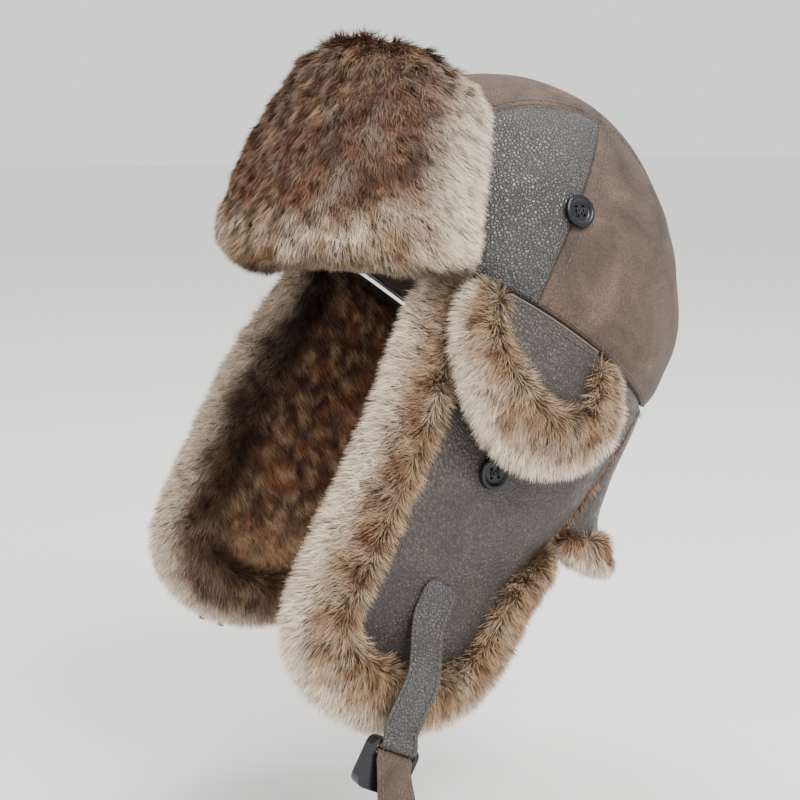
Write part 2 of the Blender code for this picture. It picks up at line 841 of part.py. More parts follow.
def button(name, place, axis, side):
    """A four-hole button with a raised rim, and the cutter of its holes."""
    place, axis = mirrored([place, axis], side)
    profile = (
        (0, 0),
        (0.9 * BUTTON_RADIUS, 0),
        (BUTTON_RADIUS, 0.3 * BUTTON_THICK),
        (BUTTON_RADIUS, 0.8 * BUTTON_THICK),
        (0.9 * BUTTON_RADIUS, BUTTON_THICK),
        (0.72 * BUTTON_RADIUS, 0.62 * BUTTON_THICK),
        (0, 0.56 * BUTTON_THICK),
    )
    made = turned(name, profile, place, axis, black_plastic())
    holes = bmesh.new()
    for k in range(4):
        turn = pi / 4 + pi / 2 * k
        where = Vector((cos(turn), sin(turn), 0)) * 0.25 * BUTTON_RADIUS
        shift = Matrix.Translation(where + Vector((0, 0, BUTTON_THICK / 2)))
        bmesh.ops.create_cone(
            holes,
            cap_ends=True,
            segments=HOLE_SIDES,
            radius1=BUTTON_HOLE,
            radius2=BUTTON_HOLE,
            depth=3 * BUTTON_THICK,
            matrix=shift,
        )
    facing = axis.to_track_quat("Z", "Y").to_matrix().to_4x4()
    facing.translation = place
    holes.transform(facing)
    cutter = finish(name + "_holes", holes, black_plastic())
    cut(made, cutter)
    return [made, cutter]


def crown_button(side, word):
    """The button on the side seam."""
    foot = edge_point(SIDE_SEAM_FOOT).normalized()
    head = strip_direction(SIDE_SEAM_TOP, 1).normalized()
    way = mix(foot, head, CROWN_BUTTON_RISE)
    along = crown_point(mix(foot, head, CROWN_BUTTON_RISE + 0.01)) - crown_point(way)
    across = crown_point(way + Vector((0, 0.01, 0))) - crown_point(way)
    axis = across.cross(along).normalized()
    axis = axis if axis.x > 0 else -axis
    return button(f"crown_button_{word}", crown_point(way) + axis * BUTTON_LIFT, axis, side)


def flap_button(side, word):
    axis = flap_axes(*FLAP_BUTTON)[2]
    return button(f"ear_flap_button_{word}", lifted(*FLAP_BUTTON, BUTTON_LIFT), axis, side)


# ---------------------------------------------------------------- chin straps


def ribbon(name, points, acrosses, side, finish_material):
    """A flat strap whose inner face follows points of the left side, with its width along acrosses."""
    sections = []
    for k, (point, across) in enumerate(zip(points, acrosses)):
        run = points[min(k + 1, len(points) - 1)] - points[max(k - 1, 0)]
        out = run.cross(across).normalized()
        out = (out if out.x > 0 else -out) * STRAP_THICK
        half = across.normalized() * STRAP_WIDTH / 2
        sections.append(mirrored([point - half, point + half, point + half + out, point - half + out], side))
    return tube(name, sections, finish_material)


def strap_piece(name, start, end, steps, side):
    """A strap along the flap between two drops."""
    drops = [mix(start, end, k / steps) for k in range(steps + 1)]
    points = [lifted(STRAP_PLACE, drop, strap_height(drop)) for drop in drops]
    acrosses = [flap_axes(STRAP_PLACE, drop)[0] for drop in drops]
    return ribbon(name, points, acrosses, side, gloss_leather())


def strap_height(drop):
    """The strap lies on the leather down to its bend, and then rises over the fur border."""
    return mix(SOFT_GAP / 2, STRAP_STANDOFF, smooth((drop - STRAP_BEND) / STRAP_RISE))


def strap_tab(side, word):
    return strap_piece(f"strap_tab_{word}", STRAP_TOP, STRAP_BEND - GAP, 2, side)


def strap_length(side):
    return STRAP_LENGTH if side > 0 else PLUG_STRAP_LENGTH


def chin_strap(side, word):
    start = STRAP_BEND + STRAP_THICK
    return strap_piece(f"chin_strap_{word}", start, STRAP_BEND + strap_length(side), STRAP_STEPS, side)


def buckle_frame(side):
    """The middle of the buckle's top edge, and its axes: across, down and out."""
    drop = STRAP_BEND + strap_length(side)
    back, down, out = flap_axes(STRAP_PLACE, drop)
    across = (back - down * back.dot(down)).normalized()
    return lifted(STRAP_PLACE, drop, STRAP_STANDOFF + STRAP_THICK / 2) + down * BUCKLE_GAP, across, down, out


def in_frame(points, side):
    """Moves points given as (across, down, out) to the buckle of one side."""
    top, across, down, out = buckle_frame(side)
    return mirrored([top + across * x + down * y + out * z for x, y, z in points], side)


def rounded_box(width, start, end, thick, radius, steps=3):
    """The outline of a box with round corners, in the plane across and down, at two heights."""
    half, low, high = width / 2 - radius, start + radius, end - radius
    outline = []
    for corner, (x, y) in enumerate(((half, high), (-half, high), (-half, low), (half, low))):
        for k in range(steps + 1):
            turn = pi / 2 * (corner + k / steps)
            outline.append((x + radius * cos(turn), y + radius * sin(turn)))
    return [[(x, y, z) for x, y in outline] for z in (-thick / 2, thick / 2)]


def box(name, width, start, end, thick, radius, side):
    low, high = rounded_box(width, start, end, thick, radius)
    return tube(name, [in_frame(low, side), in_frame(high, side)], black_plastic())


def strap_slot(name, side):
    """The cutter of the slot that a strap runs through."""
    width, end = STRAP_WIDTH + 2 * SOFT_GAP, BUCKLE_WALL + SLOT_HEIGHT
    return box(name, width, BUCKLE_WALL, end, 2 * BUCKLE_THICK, 0.4 * SLOT_HEIGHT, side)


def buckle_socket(side, word):
    """The half that takes the prongs, with a slot for its strap and a mouth at the other end."""
    name = f"buckle_socket_{word}"
    made = box(name, BUCKLE_WIDTH, 0, BUCKLE_HEIGHT, BUCKLE_THICK, BUCKLE_CORNER, side)
    slot = strap_slot(name + "_slot", side)
    top = BUCKLE_HEIGHT - PRONG_LENGTH + 2 * SOFT_GAP
    width, thick = BUCKLE_WIDTH - 4 * BUCKLE_WALL, 0.55 * BUCKLE_THICK
    mouth = box(name + "_mouth", width, top, 2 * BUCKLE_HEIGHT, thick, BUCKLE_CORNER / 4, side)
    cut(made, slot)
    cut(made, mouth)
    return [made, slot, mouth]


def buckle_plug(side, word):
    """The half with three prongs."""
    base = 2 * BUCKLE_WALL + SLOT_HEIGHT
    half, reach = BUCKLE_WIDTH / 2, base + PRONG_LENGTH - 2 * SOFT_GAP
    edge = half - 2 * BUCKLE_WALL - SOFT_GAP
    rear = [(half, 0), (half, base)]
    outer = [(edge, base), (edge, reach), (edge - 0.6 * PRONG_WIDTH, reach), (edge - PRONG_WIDTH, base)]
    middle = [(0.4 * PRONG_WIDTH, base), (0.4 * PRONG_WIDTH, 0.9 * reach)]
    right = rear + outer + middle
    outline = right + [(-x, y) for x, y in right[::-1]]
    thick = 0.5 * BUCKLE_THICK - SOFT_GAP / 2
    faces = [in_frame([(x, y, z) for x, y in outline], side) for z in (-thick / 2, thick / 2)]
    made = tube(f"buckle_plug_{word}", faces, black_plastic())
    slot = strap_slot(f"buckle_plug_{word}_slot", side)
    cut(made, slot)
    return [made, slot]


def strap_tail(side, word):
    """The loose end, folded over the buckle's bar and hanging straight down in front of it."""
    top, across, down, out = buckle_frame(side)
    start = top + down * BUCKLE_WALL + out * (BUCKLE_THICK / 2 + SOFT_GAP / 2)
    points, acrosses = [], []
    for k in range(TAIL_STEPS + 1):
        share = k / TAIL_STEPS
        sway = Vector((TAIL_BOW * sin(pi * share), TAIL_SWING * share**2, -TAIL_LENGTH * share))
        points.append(start + sway)
        acrosses.append(mix(across, Vector((0, 1, 0)), smooth(3 * share)))
    return ribbon(f"strap_tail_{word}", points, acrosses, side, matte_leather())


# ---------------------------------------------------------------- the hat


def seam_middle(out):
    """A point on the left seam line, this far outside the crown."""
    point = edge_point(pi / 2)
    return Vector((point.x + out, point.y, point.z))


def build_side(side, word):
    """One ear flap with all it carries, each moving group under an empty on its joint's axis."""
    flap = pivot(f"ear_flap_pivot_{word}", mirrored([seam_middle(FLAP_AXIS_OUT)], side)[0])
    cover = pivot(f"ear_cover_pivot_{word}", mirrored([seam_middle(COVER_AXIS_OUT)], side)[0], flap)
    bend = lifted(STRAP_PLACE, STRAP_BEND, SOFT_GAP / 2 + STRAP_THICK + GAP)
    strap = pivot(f"chin_strap_pivot_{word}", mirrored([bend], side)[0], flap)
    top, across, down, out = buckle_frame(side)
    buckle = pivot(f"buckle_pivot_{word}", mirrored([top + down * BUCKLE_WALL / 2], side)[0], strap)
    hang(ear_flap(side, word) + flap_button(side, word) + [strap_tab(side, word)], flap)
    hang(ear_cover(side, word), cover)
    hang([chin_strap(side, word)], strap)
    crown_button(side, word)
    if side > 0:
        hang(buckle_socket(side, word), buckle)
        fold = top + down * BUCKLE_WALL + out * BUCKLE_THICK / 2
        hang([strap_tail(side, word)], pivot(f"strap_tail_pivot_{word}", fold, buckle))
    else:
        hang(buckle_plug(side, word), buckle)


def build():
    clear_scene()
    crown_leather()
    depth = LEATHER + GAP
    dome_layer("crown_wadding", depth, WADDING, wadding_felt())
    depth += WADDING + GAP
    dome_layer("crown_lining", depth, LINING, lining_cloth())
    sweatband(depth + LINING + 2 * SOFT_GAP)
    hang(visor(), pivot("visor_pivot", (0, visor_point(0, 0).y - VISOR_AXIS_OUT, VISOR_FOOT)))
    nape = edge_point(pi)
    hang(neck_curtain(), pivot("neck_curtain_pivot", (0, nape.y + CURTAIN_AXIS_OUT, nape.z)))
    build_side(1, "left")
    build_side(-1, "right")
    bpy.context.view_layer.update()


build()
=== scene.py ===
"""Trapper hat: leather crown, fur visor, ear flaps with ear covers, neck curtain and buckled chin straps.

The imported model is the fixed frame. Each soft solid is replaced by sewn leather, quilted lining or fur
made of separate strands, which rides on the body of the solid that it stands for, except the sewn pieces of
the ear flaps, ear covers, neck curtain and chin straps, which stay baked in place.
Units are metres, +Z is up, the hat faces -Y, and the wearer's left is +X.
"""

from functools import lru_cache
from math import asin, atan2, cos, pi, radians, sin, sqrt

import bmesh
import bpy
import numpy as np
from mathutils import Matrix, Vector, noise
from mathutils.bvhtree import BVHTree


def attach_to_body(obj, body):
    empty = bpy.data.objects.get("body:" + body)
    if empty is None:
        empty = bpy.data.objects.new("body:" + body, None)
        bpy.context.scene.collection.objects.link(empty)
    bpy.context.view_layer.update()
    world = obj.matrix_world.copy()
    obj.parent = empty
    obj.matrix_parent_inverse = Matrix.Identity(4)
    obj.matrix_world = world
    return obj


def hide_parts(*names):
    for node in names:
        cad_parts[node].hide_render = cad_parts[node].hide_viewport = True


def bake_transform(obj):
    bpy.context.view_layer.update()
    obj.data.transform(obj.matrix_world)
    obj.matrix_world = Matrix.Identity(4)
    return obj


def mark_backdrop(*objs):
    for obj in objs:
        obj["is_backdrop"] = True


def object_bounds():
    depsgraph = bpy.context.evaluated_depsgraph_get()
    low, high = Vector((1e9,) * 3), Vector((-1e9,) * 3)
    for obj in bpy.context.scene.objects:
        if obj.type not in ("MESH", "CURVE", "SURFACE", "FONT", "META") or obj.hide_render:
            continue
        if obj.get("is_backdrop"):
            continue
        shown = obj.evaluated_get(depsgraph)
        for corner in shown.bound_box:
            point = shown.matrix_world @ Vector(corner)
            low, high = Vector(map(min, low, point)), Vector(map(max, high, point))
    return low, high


bl_info = {
    "name": "Trapper Hat",
    "version": (1, 0, 0),
    "blender": (4, 5, 0),
    "location": "View3D > Sidebar > Hat",
    "description": "Builds a leather and fur trapper hat on its packed frame",
    "category": "Add Mesh",
}

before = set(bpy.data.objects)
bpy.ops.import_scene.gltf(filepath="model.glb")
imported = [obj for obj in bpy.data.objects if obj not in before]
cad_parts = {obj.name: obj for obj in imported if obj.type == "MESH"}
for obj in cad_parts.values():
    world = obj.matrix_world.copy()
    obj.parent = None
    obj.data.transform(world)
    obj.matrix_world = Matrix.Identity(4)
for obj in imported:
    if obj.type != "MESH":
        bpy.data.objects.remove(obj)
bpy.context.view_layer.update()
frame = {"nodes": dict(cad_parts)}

# Sizes of the pattern, as in the solid model
CROWN_HALF_WIDTH = 0.090
CROWN_HALF_LENGTH = 0.110
CROWN_HEIGHT = 0.129
CROWN_SQUARENESS = 2.15
BROW_EDGE = 0.036
NAPE_EDGE = -0.046
BROW_END = radians(50)
NAPE_START = radians(140)
NAPE_TUCK = 0.020
STRIP_SPREAD = 0.40
SIDE_SEAM_TOP = radians(111)
SIDE_SEAM_FOOT = radians(76)

LEATHER = 0.0014
WADDING = 0.0035
LINING = 0.0012
GAP = 0.0003
SOFT_GAP = 0.0012
SEAM_DROP = 0.002
SWEATBAND = 0.0015
SWEATBAND_HEIGHT = 0.030

VISOR_SPREAD = radians(57)
VISOR_FOOT = 0.040
VISOR_TOP = 0.134
VISOR_END_DROP = 0.026
VISOR_STANDOFF = 0.035
VISOR_LEAN = 0.36
STIFFENER = 0.0015
VISOR_PILE = 0.036
VISOR_THINNING = 0.45
VISOR_END_THINNING = 0.45

SEAM_SLOPE = radians(28.8)
FLAP_FRONT = 0.060
FLAP_REAR = 0.069
FLAP_TIP_FRONT = 0.056
FLAP_TIP_REAR = 0.021
FLAP_DROP_FRONT = 0.168
FLAP_DROP_REAR = 0.145
FLAP_SWAG = 0.027
FLAP_SPREAD = 0.088
REAR_CURL = 5.5
FRONT_CURL = 0.6
FLAP_EASE = 0.090
FLAP_PILE = 0.012
BORDER_WIDTHS = (0.031, 0.034, 0.022)
BORDER_OUT = 0.009
BORDER_START = 0.020
BORDER_RISE = 0.045

COVER_FRONT = 0.049
COVER_REAR = 0.008
COVER_DROP = 0.036
COVER_BORDERS = (0.022, 0.036, 0.020)
COVER_LIFT = 0.010
COVER_PROUD = 0.008

CURTAIN_BACK = 0.054
CURTAIN_FOOT = -0.122
CURTAIN_GAP = 0.003
CURTAIN_TUCK = 0.012
CURTAIN_TUCK_FALL = 1.3
CURTAIN_SHARE = 0.4
HEM_WIDTH = 0.020
HEM_PROUD = 0.006

BUTTON_RADIUS = 0.0084
BUTTON_THICK = 0.0032
STRAP_WIDTH = 0.020
STRAP_THICK = 0.0018
STRAP_PLACE = -0.016
STRAP_TOP = 0.138
STRAP_BEND = 0.173
STRAP_LENGTH = 0.037
PLUG_STRAP_LENGTH = 0.022
STRAP_STANDOFF = 0.0175
STRAP_RISE = 0.013
TAIL_LENGTH = 0.085
TAIL_BOW = 0.004
TAIL_SWING = 0.006
BUCKLE_GAP = 0.0028

# (down, out) from the middle of the buckle's top edge: the strap folds over the bar, and the loose end
# comes out of the slot
STRAP_ROUND_BAR = (
    (-0.0035, 0.0016),
    (-0.0012, 0.0036),
    (0.0011, 0.0045),
    (0.0030, 0.0036),
    (0.0034, 0.0014),
    (0.0034, -0.0006),
)
TAIL_OUT_OF_SLOT = ((0.0053, -0.0012), (0.0053, 0.0010), (0.0056, 0.0032), (0.0068, 0.0048), (0.0090, 0.0054))

# How far below its seam sewn_line puts the second point of each sewn piece
FLAP_BEND = 0.030
COVER_BEND = 0.014
CURTAIN_BEND = 0.35


# ---------------------------------------------------------------- sizes and colours that can be set


def length(name, description, default, most=0.1):
    return bpy.props.FloatProperty(
        name=name, description=description, default=default, min=0.0, max=most, precision=4, subtype="DISTANCE"
    )


def number(name, description, default, least=0.0, most=10.0):
    return bpy.props.FloatProperty(name=name, description=description, default=default, min=least, max=most)


def colour(name, description, default):
    return bpy.props.FloatVectorProperty(
        name=name, description=description, default=default, size=3, min=0.0, max=1.0, subtype="COLOR"
    )


class HatLeatherSettings(bpy.types.PropertyGroup):
    puff: length("Puff", "How far a panel swells between its seams", 0.0016)
    seam_width: length("Seam width", "How far from a seam a panel starts to dip into it", 0.0035)
    stitch_length: length("Stitch length", "Length of one stitch", 0.0026)
    stitch_spacing: length("Stitch spacing", "From one stitch to the next", 0.0034)
    stitch_inset: length("Stitch inset", "From an edge to its row of stitches", 0.0028)
    grain_size: length("Grain size", "Width of one pebble of the glossy leather", 0.0017)
    gloss: colour("Glossy leather", "Colour of the front panels and the straps", (0.036, 0.032, 0.030))
    matte: colour("Brushed leather", "Colour of the centre strip and the rear panels", (0.074, 0.050, 0.037))
    body: colour("Flap leather", "Colour of the flaps, the covers and the curtain", (0.048, 0.035, 0.028))
    edge: colour("Worn edge", "Colour where an edge has lost its finish", (0.210, 0.155, 0.115))
    thread: colour("Thread", "Colour of the stitching", (0.055, 0.045, 0.040))


class HatFurSettings(bpy.types.PropertyGroup):
    pile: length("Pile", "Length of one strand", 0.0095)
    strand_width: length("Strand width", "Width of a strand at its root", 0.00030)
    density: number("Density", "Strands to the square centimetre", 520.0, 1.0, 2000.0)
    tuft_size: length("Tuft size", "Width of the tufts that the strands gather in", 0.0075)
    tuft_strength: number("Tuft strength", "How far the strands of a tuft lean together", 0.6)
    cream: colour("Cream", "The palest tips", (0.880, 0.740, 0.590))
    tan: colour("Tan", "The usual colour of the pile", (0.420, 0.270, 0.150))
    rust: colour("Rust", "The warm patches", (0.200, 0.070, 0.032))
    # Umber is also the painted shade under the visor's roll and under the fur edges.
    umber: colour("Umber", "The dark back of the visor and the lining", (0.052, 0.018, 0.010))
    grey: colour("Grey", "The cool, pale patches", (0.500, 0.400, 0.280))
    guard: colour("Guard hair", "The dark strands among the pale ones", (0.036, 0.016, 0.010))


class HatTrimSettings(bpy.types.PropertyGroup):
    quilt_size: length("Quilt size", "Width of one diamond of the lining", 0.024)
    quilt_puff: length("Quilt puff", "How far a diamond swells", 0.0030)
    lining: colour("Lining", "Colour of the quilted lining", (0.050, 0.038, 0.034))
    plastic: colour("Plastic", "Colour of the buttons and the buckle", (0.0030, 0.0034, 0.0055))
    wadding: colour("Wadding", "Colour of the wadding and the stiffener", (0.085, 0.072, 0.062))


class HatStageSettings(bpy.types.PropertyGroup):
    azimuth: number("Azimuth", "Turn of the camera round the hat, in degrees", 60.0, -180.0, 180.0)
    elevation: number("Elevation", "Height of the camera over the horizon, in degrees", 11.0, -90.0, 90.0)
    distance: number("Distance", "From the camera to the aim", 0.77, 0.1, 10.0)
    lens: number("Lens", "Focal length in millimetres, on a 36 mm sensor", 63.9, 10.0, 300.0)
    aim_right: number("Aim right", "The aim's place to the right of the origin, in metres", -0.045, -1.0, 1.0)
    aim_up: number("Aim up", "The aim's place above the origin, in metres", -0.043, -1.0, 1.0)
    floor: colour("Floor", "Colour of the floor", (0.900, 0.895, 0.885))


def settings(kind):
    return getattr(bpy.context.scene, "hat_" + kind)


# ---------------------------------------------------------------- the pattern's surfaces


def mix(low, high, share):
    return low + (high - low) * share


def smooth(share):
    held = min(max(share, 0.0), 1.0)
    return held * held * (3 - 2 * held)


def full_turn(count):
    """Evenly spaced angles round a circle."""
    return [2 * pi * k / count for k in range(count)]


def edge_height(angle):
    """Height of the crown's lower edge, where angle is 0 at the brow and pi at the nape."""
    turn = min(abs(angle), 2 * pi - abs(angle))
    return mix(BROW_EDGE, NAPE_EDGE, smooth((turn - BROW_END) / (NAPE_START - BROW_END)))


def tuck_share(frontness):
    """How far the crown draws in below the hat line, as a share, from 1 at the brow to -1 at the nape."""
    return NAPE_TUCK / CROWN_HALF_LENGTH * ((1 - frontness) / 2) ** 1.5


def wall_point(angle, height):
    """A point on the crown's outside at a plan angle and a height."""
    if height >= 0:
        share = (1 - (height / CROWN_HEIGHT) ** CROWN_SQUARENESS) ** (1 / CROWN_SQUARENESS)
    else:
        share = 1 - tuck_share(cos(angle)) * (height / NAPE_EDGE) ** 2
    return Vector((CROWN_HALF_WIDTH * share * sin(angle), -CROWN_HALF_LENGTH * share * cos(angle), height))


def edge_point(angle):
    return wall_point(angle, edge_height(angle))


def crown_point(direction, depth=0.0):
    """The point at a depth under the crown's outside, along a direction from the origin."""
    way = direction.normalized()
    plan = sqrt((way.x / CROWN_HALF_WIDTH) ** 2 + (way.y / CROWN_HALF_LENGTH) ** 2)
    if way.z >= 0:
        power = CROWN_SQUARENESS
        reach = (plan**power + (way.z / CROWN_HEIGHT) ** power) ** (-1 / power)
    else:
        tuck = tuck_share(-way.y / CROWN_HALF_LENGTH / plan) * (way.z / NAPE_EDGE) ** 2
        reach = (sqrt(plan**2 + 4 * tuck) - plan) / (2 * tuck) if tuck > 1e-9 else 1 / plan
    return way * (reach - depth)


def strip_direction(run, across):
    """A direction on the centre strip: run turns from the front over the top, across is 1 at the seam."""
    return Vector((STRIP_SPREAD * across, -cos(run), sin(run)))


@lru_cache(maxsize=None)
def strip_end(across, rear):
    """The run at which the strip meets its lower edge."""
    run = pi if rear else 0.0
    height = NAPE_EDGE if rear else BROW_EDGE
    for _ in range(20):
        way = strip_direction(run, across)
        rise = asin(height * way.length / crown_point(way).length)
        run = pi - rise if rear else rise
    return run


def strip_point(along, across, depth=0.0):
    """A point on the centre strip: along goes from the brow to the nape."""
    run = mix(strip_end(across, False), strip_end(across, True), along)
    return crown_point(strip_direction(run, across), depth)


def plan_angle(point):
    return atan2(point.x / CROWN_HALF_WIDTH, -point.y / CROWN_HALF_LENGTH)


@lru_cache(maxsize=None)
def strip_foot(rear):
    """The plan angle of the strip's seam at its lower edge."""
    return plan_angle(crown_point(strip_direction(strip_end(1.0, rear), 1.0)))


def side_point(rear, along, rise, depth=0.0):
    """A point on a left side panel: along goes front to back, rise goes from the lower edge to the strip."""
    if rear:
        run = mix(SIDE_SEAM_TOP, strip_end(1.0, True), along)
        foot = mix(SIDE_SEAM_FOOT, strip_foot(True), along)
    else:
        run = mix(strip_end(1.0, False), SIDE_SEAM_TOP, along)
        foot = mix(strip_foot(False), SIDE_SEAM_FOOT, along)
    head = strip_direction(run, 1.0).normalized()
    return crown_point(mix(edge_point(foot).normalized(), head, rise), depth)


def visor_point(angle, rise):
    """A point on the visor's inner face: rise is 0 at the fold and 1 at the top edge."""
    end = abs(angle) / VISOR_SPREAD
    top = VISOR_TOP - VISOR_END_DROP * end**3
    share = 1 + VISOR_STANDOFF - VISOR_LEAN * max(rise, 0.0) ** 1.6
    return Vector(
        (
            CROWN_HALF_WIDTH * share * sin(angle),
            -CROWN_HALF_LENGTH * share * cos(angle),
            mix(VISOR_FOOT, top, rise),
        )
    )


@lru_cache(maxsize=None)
def seam_angle(place):
    """The plan angle at which the crown's lower edge has this distance along the seam line."""
    low, high = radians(20), radians(165)
    for _ in range(30):
        middle = (low + high) / 2
        point = edge_point(middle)
        if cos(SEAM_SLOPE) * point.y - sin(SEAM_SLOPE) * point.z < place:
            low = middle
        else:
            high = middle
    return low


def flap_point(place, drop):
    """A point on the left flap's outside, at a distance along the seam line and down from it."""
    seam = edge_point(seam_angle(round(place, 6)))
    hung = FLAP_SPREAD - REAR_CURL * max(place, 0) ** 2 - FRONT_CURL * min(place, 0) ** 2
    return Vector(
        (
            mix(seam.x, hung, smooth(drop / FLAP_EASE)),
            seam.y - sin(SEAM_SLOPE) * drop,
            seam.z - cos(SEAM_SLOPE) * drop,
        )
    )


def flap_axes(place, drop):
    """Unit vectors on the left flap: backwards along the seam, down from it, and outwards."""
    step = 0.001
    back = flap_point(place + step, drop) - flap_point(place - step, drop)
    down = flap_point(place, drop + step) - flap_point(place, drop - step)
    out = back.cross(down).normalized()
    return back.normalized(), down.normalized(), out if out.x > 0 else -out


def lifted(place, drop, height):
    """A point over the left flap's outside."""
    return flap_point(place, drop) + flap_axes(place, drop)[2] * height


def bezier(a, b, c, d, share):
    rest = 1 - share
    return tuple(
        rest**3 * p + 3 * rest**2 * share * q + 3 * rest * share**2 * r + share**3 * s
        for p, q, r, s in zip(a, b, c, d)
    )


def patch(top, bottom, front, rear, c, r):
    """A point of the Coons patch between four edge functions: top and bottom run front to rear."""
    ruled = mix(Vector(top(c)), Vector(bottom(c)), r) + mix(Vector(front(r)), Vector(rear(r)), c)
    low = mix(Vector(top(0)), Vector(top(1)), c)
    high = mix(Vector(bottom(0)), Vector(bottom(1)), c)
    return ruled - mix(low, high, r)


def flap_front(share):
    return mix(-FLAP_FRONT, -FLAP_TIP_FRONT, share), mix(SEAM_DROP, FLAP_DROP_FRONT, share)


def flap_rear(share):
    top, tip = (FLAP_REAR, SEAM_DROP), (FLAP_TIP_REAR, FLAP_DROP_REAR)
    knee = (mix(FLAP_REAR, FLAP_TIP_REAR, 0.25), FLAP_DROP_REAR * 0.66)
    return bezier(top, knee, (FLAP_TIP_REAR, FLAP_DROP_REAR * 0.70), tip, share)


def flap_bottom(share):
    front, rear = flap_front(1), flap_rear(1)
    low = FLAP_DROP_FRONT + FLAP_SWAG
    return bezier(front, (front[0] + 0.004, low), (rear[0] - 0.003, low - 0.004), rear, share)


def flap_top(share):
    return mix(-FLAP_FRONT, FLAP_REAR, share), SEAM_DROP


def flap_spot(along, down):
    """(place, drop) on the flap, both shares from 0 to 1."""
    return patch(flap_top, flap_bottom, flap_front, flap_rear, along, down)


def cover_lift(drop):
    return 2 * SEAM_DROP + COVER_LIFT * smooth(drop / COVER_DROP)


def cover_top(share):
    return mix(-COVER_FRONT, COVER_REAR, share), SEAM_DROP


def cover_front(share):
    return -COVER_FRONT, mix(SEAM_DROP, 0.45 * COVER_DROP, share)


def cover_rear(share):
    return COVER_REAR, mix(SEAM_DROP, 0.75 * COVER_DROP, share)


def cover_bottom(share):
    ahead, behind = (-0.85 * COVER_FRONT, 1.15 * COVER_DROP), (0.5 * COVER_REAR, 1.35 * COVER_DROP)
    return bezier(cover_front(1), ahead, behind, cover_rear(1), share)


def cover_spot(along, down):
    return patch(cover_top, cover_bottom, cover_front, cover_rear, along, down)


def curtain_end(share):
    place, drop = flap_rear(share * CURTAIN_SHARE)
    return flap_point(place + CURTAIN_GAP, drop)


def curtain_far_end(share):
    point = curtain_end(share)
    return Vector((-point.x, point.y, point.z))


def curtain_top(share):
    start = seam_angle(FLAP_REAR + CURTAIN_GAP)
    return edge_point(mix(start, 2 * pi - start, share)) - Vector((0, 0, SEAM_DROP))


def curtain_bottom(share):
    end = curtain_end(1)
    swell = max(sin(pi * share), 0.0) ** 0.8
    return Vector((end.x * cos(pi * share), mix(end.y, CURTAIN_BACK, swell), mix(end.z, CURTAIN_FOOT, swell)))


def curtain_point(along, down):
    """A point of the curtain's outside, drawn in towards the neck between its edges."""
    point = patch(curtain_top, curtain_bottom, curtain_end, curtain_far_end, along, down)
    swell = max(sin(pi * along), 0) ** 0.8
    point.y -= CURTAIN_TUCK * swell * sin(pi * max(down, 0) ** CURTAIN_TUCK_FALL)
    return point


# ---------------------------------------------------------------- building meshes


def shares(count, edge):
    """Shares from 0 to 1, evenly spread but for closer ones within edge of each end."""
    inner = [mix(edge, 1 - edge, k / count) for k in range(count + 1)]
    close = [edge * k / 3 for k in range(3)]
    return close + inner + [1 - share for share in close[::-1]]


def grid_normals(points, outside):
    """Unit normals of a grid of points (rows, columns, 3) that point to the side of outside(point)."""
    down = np.gradient(points, axis=0)
    across = np.gradient(points, axis=1)
    found = np.cross(across, down)
    found /= np.maximum(np.linalg.norm(found, axis=2, keepdims=True), 1e-12)
    flip = np.sum(found * outside(points), axis=2) < 0
    found[flip] *= -1
    return found


def from_axis(points):
    """Away from the upright axis through the origin."""
    out = np.array(points)
    out[..., 2] = 0
    return out


def from_origin(points):
    return np.array(points)


def edge_distance(points):
    """How far each point of a grid lies from the grid's nearest edge, along the grid."""
    rows = np.linalg.norm(np.diff(points, axis=0), axis=2)
    columns = np.linalg.norm(np.diff(points, axis=1), axis=2)
    down = np.vstack([np.zeros((1, points.shape[1])), np.cumsum(rows, axis=0)])
    along = np.hstack([np.zeros((points.shape[0], 1)), np.cumsum(columns, axis=1)])
    return np.minimum(np.minimum(down, down[-1:] - down), np.minimum(along, along[:, -1:] - along))


def new_object(name, data):
    made = bpy.data.objects.new(name, data)
    bpy.context.scene.collection.objects.link(made)
    return made


def set_attribute(data, name, values, kind="FLOAT", domain="POINT"):
    """Stores one value, or a row of values, for each element of a mesh."""
    field = {"FLOAT": "value", "FLOAT_VECTOR": "vector", "FLOAT_COLOR": "color", "FLOAT2": "vector"}[kind]
    layer = data.attributes.get(name) or data.attributes.new(name, kind, domain)
    layer.data.foreach_set(field, np.asarray(values, dtype=np.float32).ravel())


def mesh_of(name, verts, faces, finish, sharp=50):
    """A closed mesh with outward faces, shaded smooth."""
    data = bpy.data.meshes.new(name)
    data.from_pydata([tuple(v) for v in verts], [], faces)
    work = bmesh.new()
    work.from_mesh(data)
    bmesh.ops.recalc_face_normals(work, faces=work.faces)
    work.to_mesh(data)
    work.free()
    data.shade_smooth()
    data.set_sharp_from_angle(angle=radians(sharp))
    if finish:
        data.materials.append(finish)
    return new_object(name, data)


def shell(name, front, back, finish, wear=None, closed=False):
    """A solid between two grids, whose points keep how far they are from the sheet's edge.

    With closed, the last column joins the first one."""
    rows, columns = front.shape[:2]
    verts = np.concatenate([front.reshape(-1, 3), back.reshape(-1, 3)])
    base = rows * columns
    faces = []
    span = columns if closed else columns - 1
    for i in range(rows - 1):
        for k in range(span):
            a, b = i * columns + k, i * columns + (k + 1) % columns
            faces.append((a, b, b + columns, a + columns))
            faces.append((base + a, base + a + columns, base + b + columns, base + b))
    for i in (0, rows - 1):
        for k in range(span):
            a, b = i * columns + k, i * columns + (k + 1) % columns
            faces.append((a, base + a, base + b, b))
    if not closed:
        for k in (0, columns - 1):
            for i in range(rows - 1):
                a, b = i * columns + k, (i + 1) * columns + k
                faces.append((a, b, base + b, base + a))
    made = mesh_of(name, verts, faces, finish)
    if wear is not None:
        set_attribute(made.data, "edge_distance", np.concatenate([wear.ravel(), wear.ravel()]))
    return made


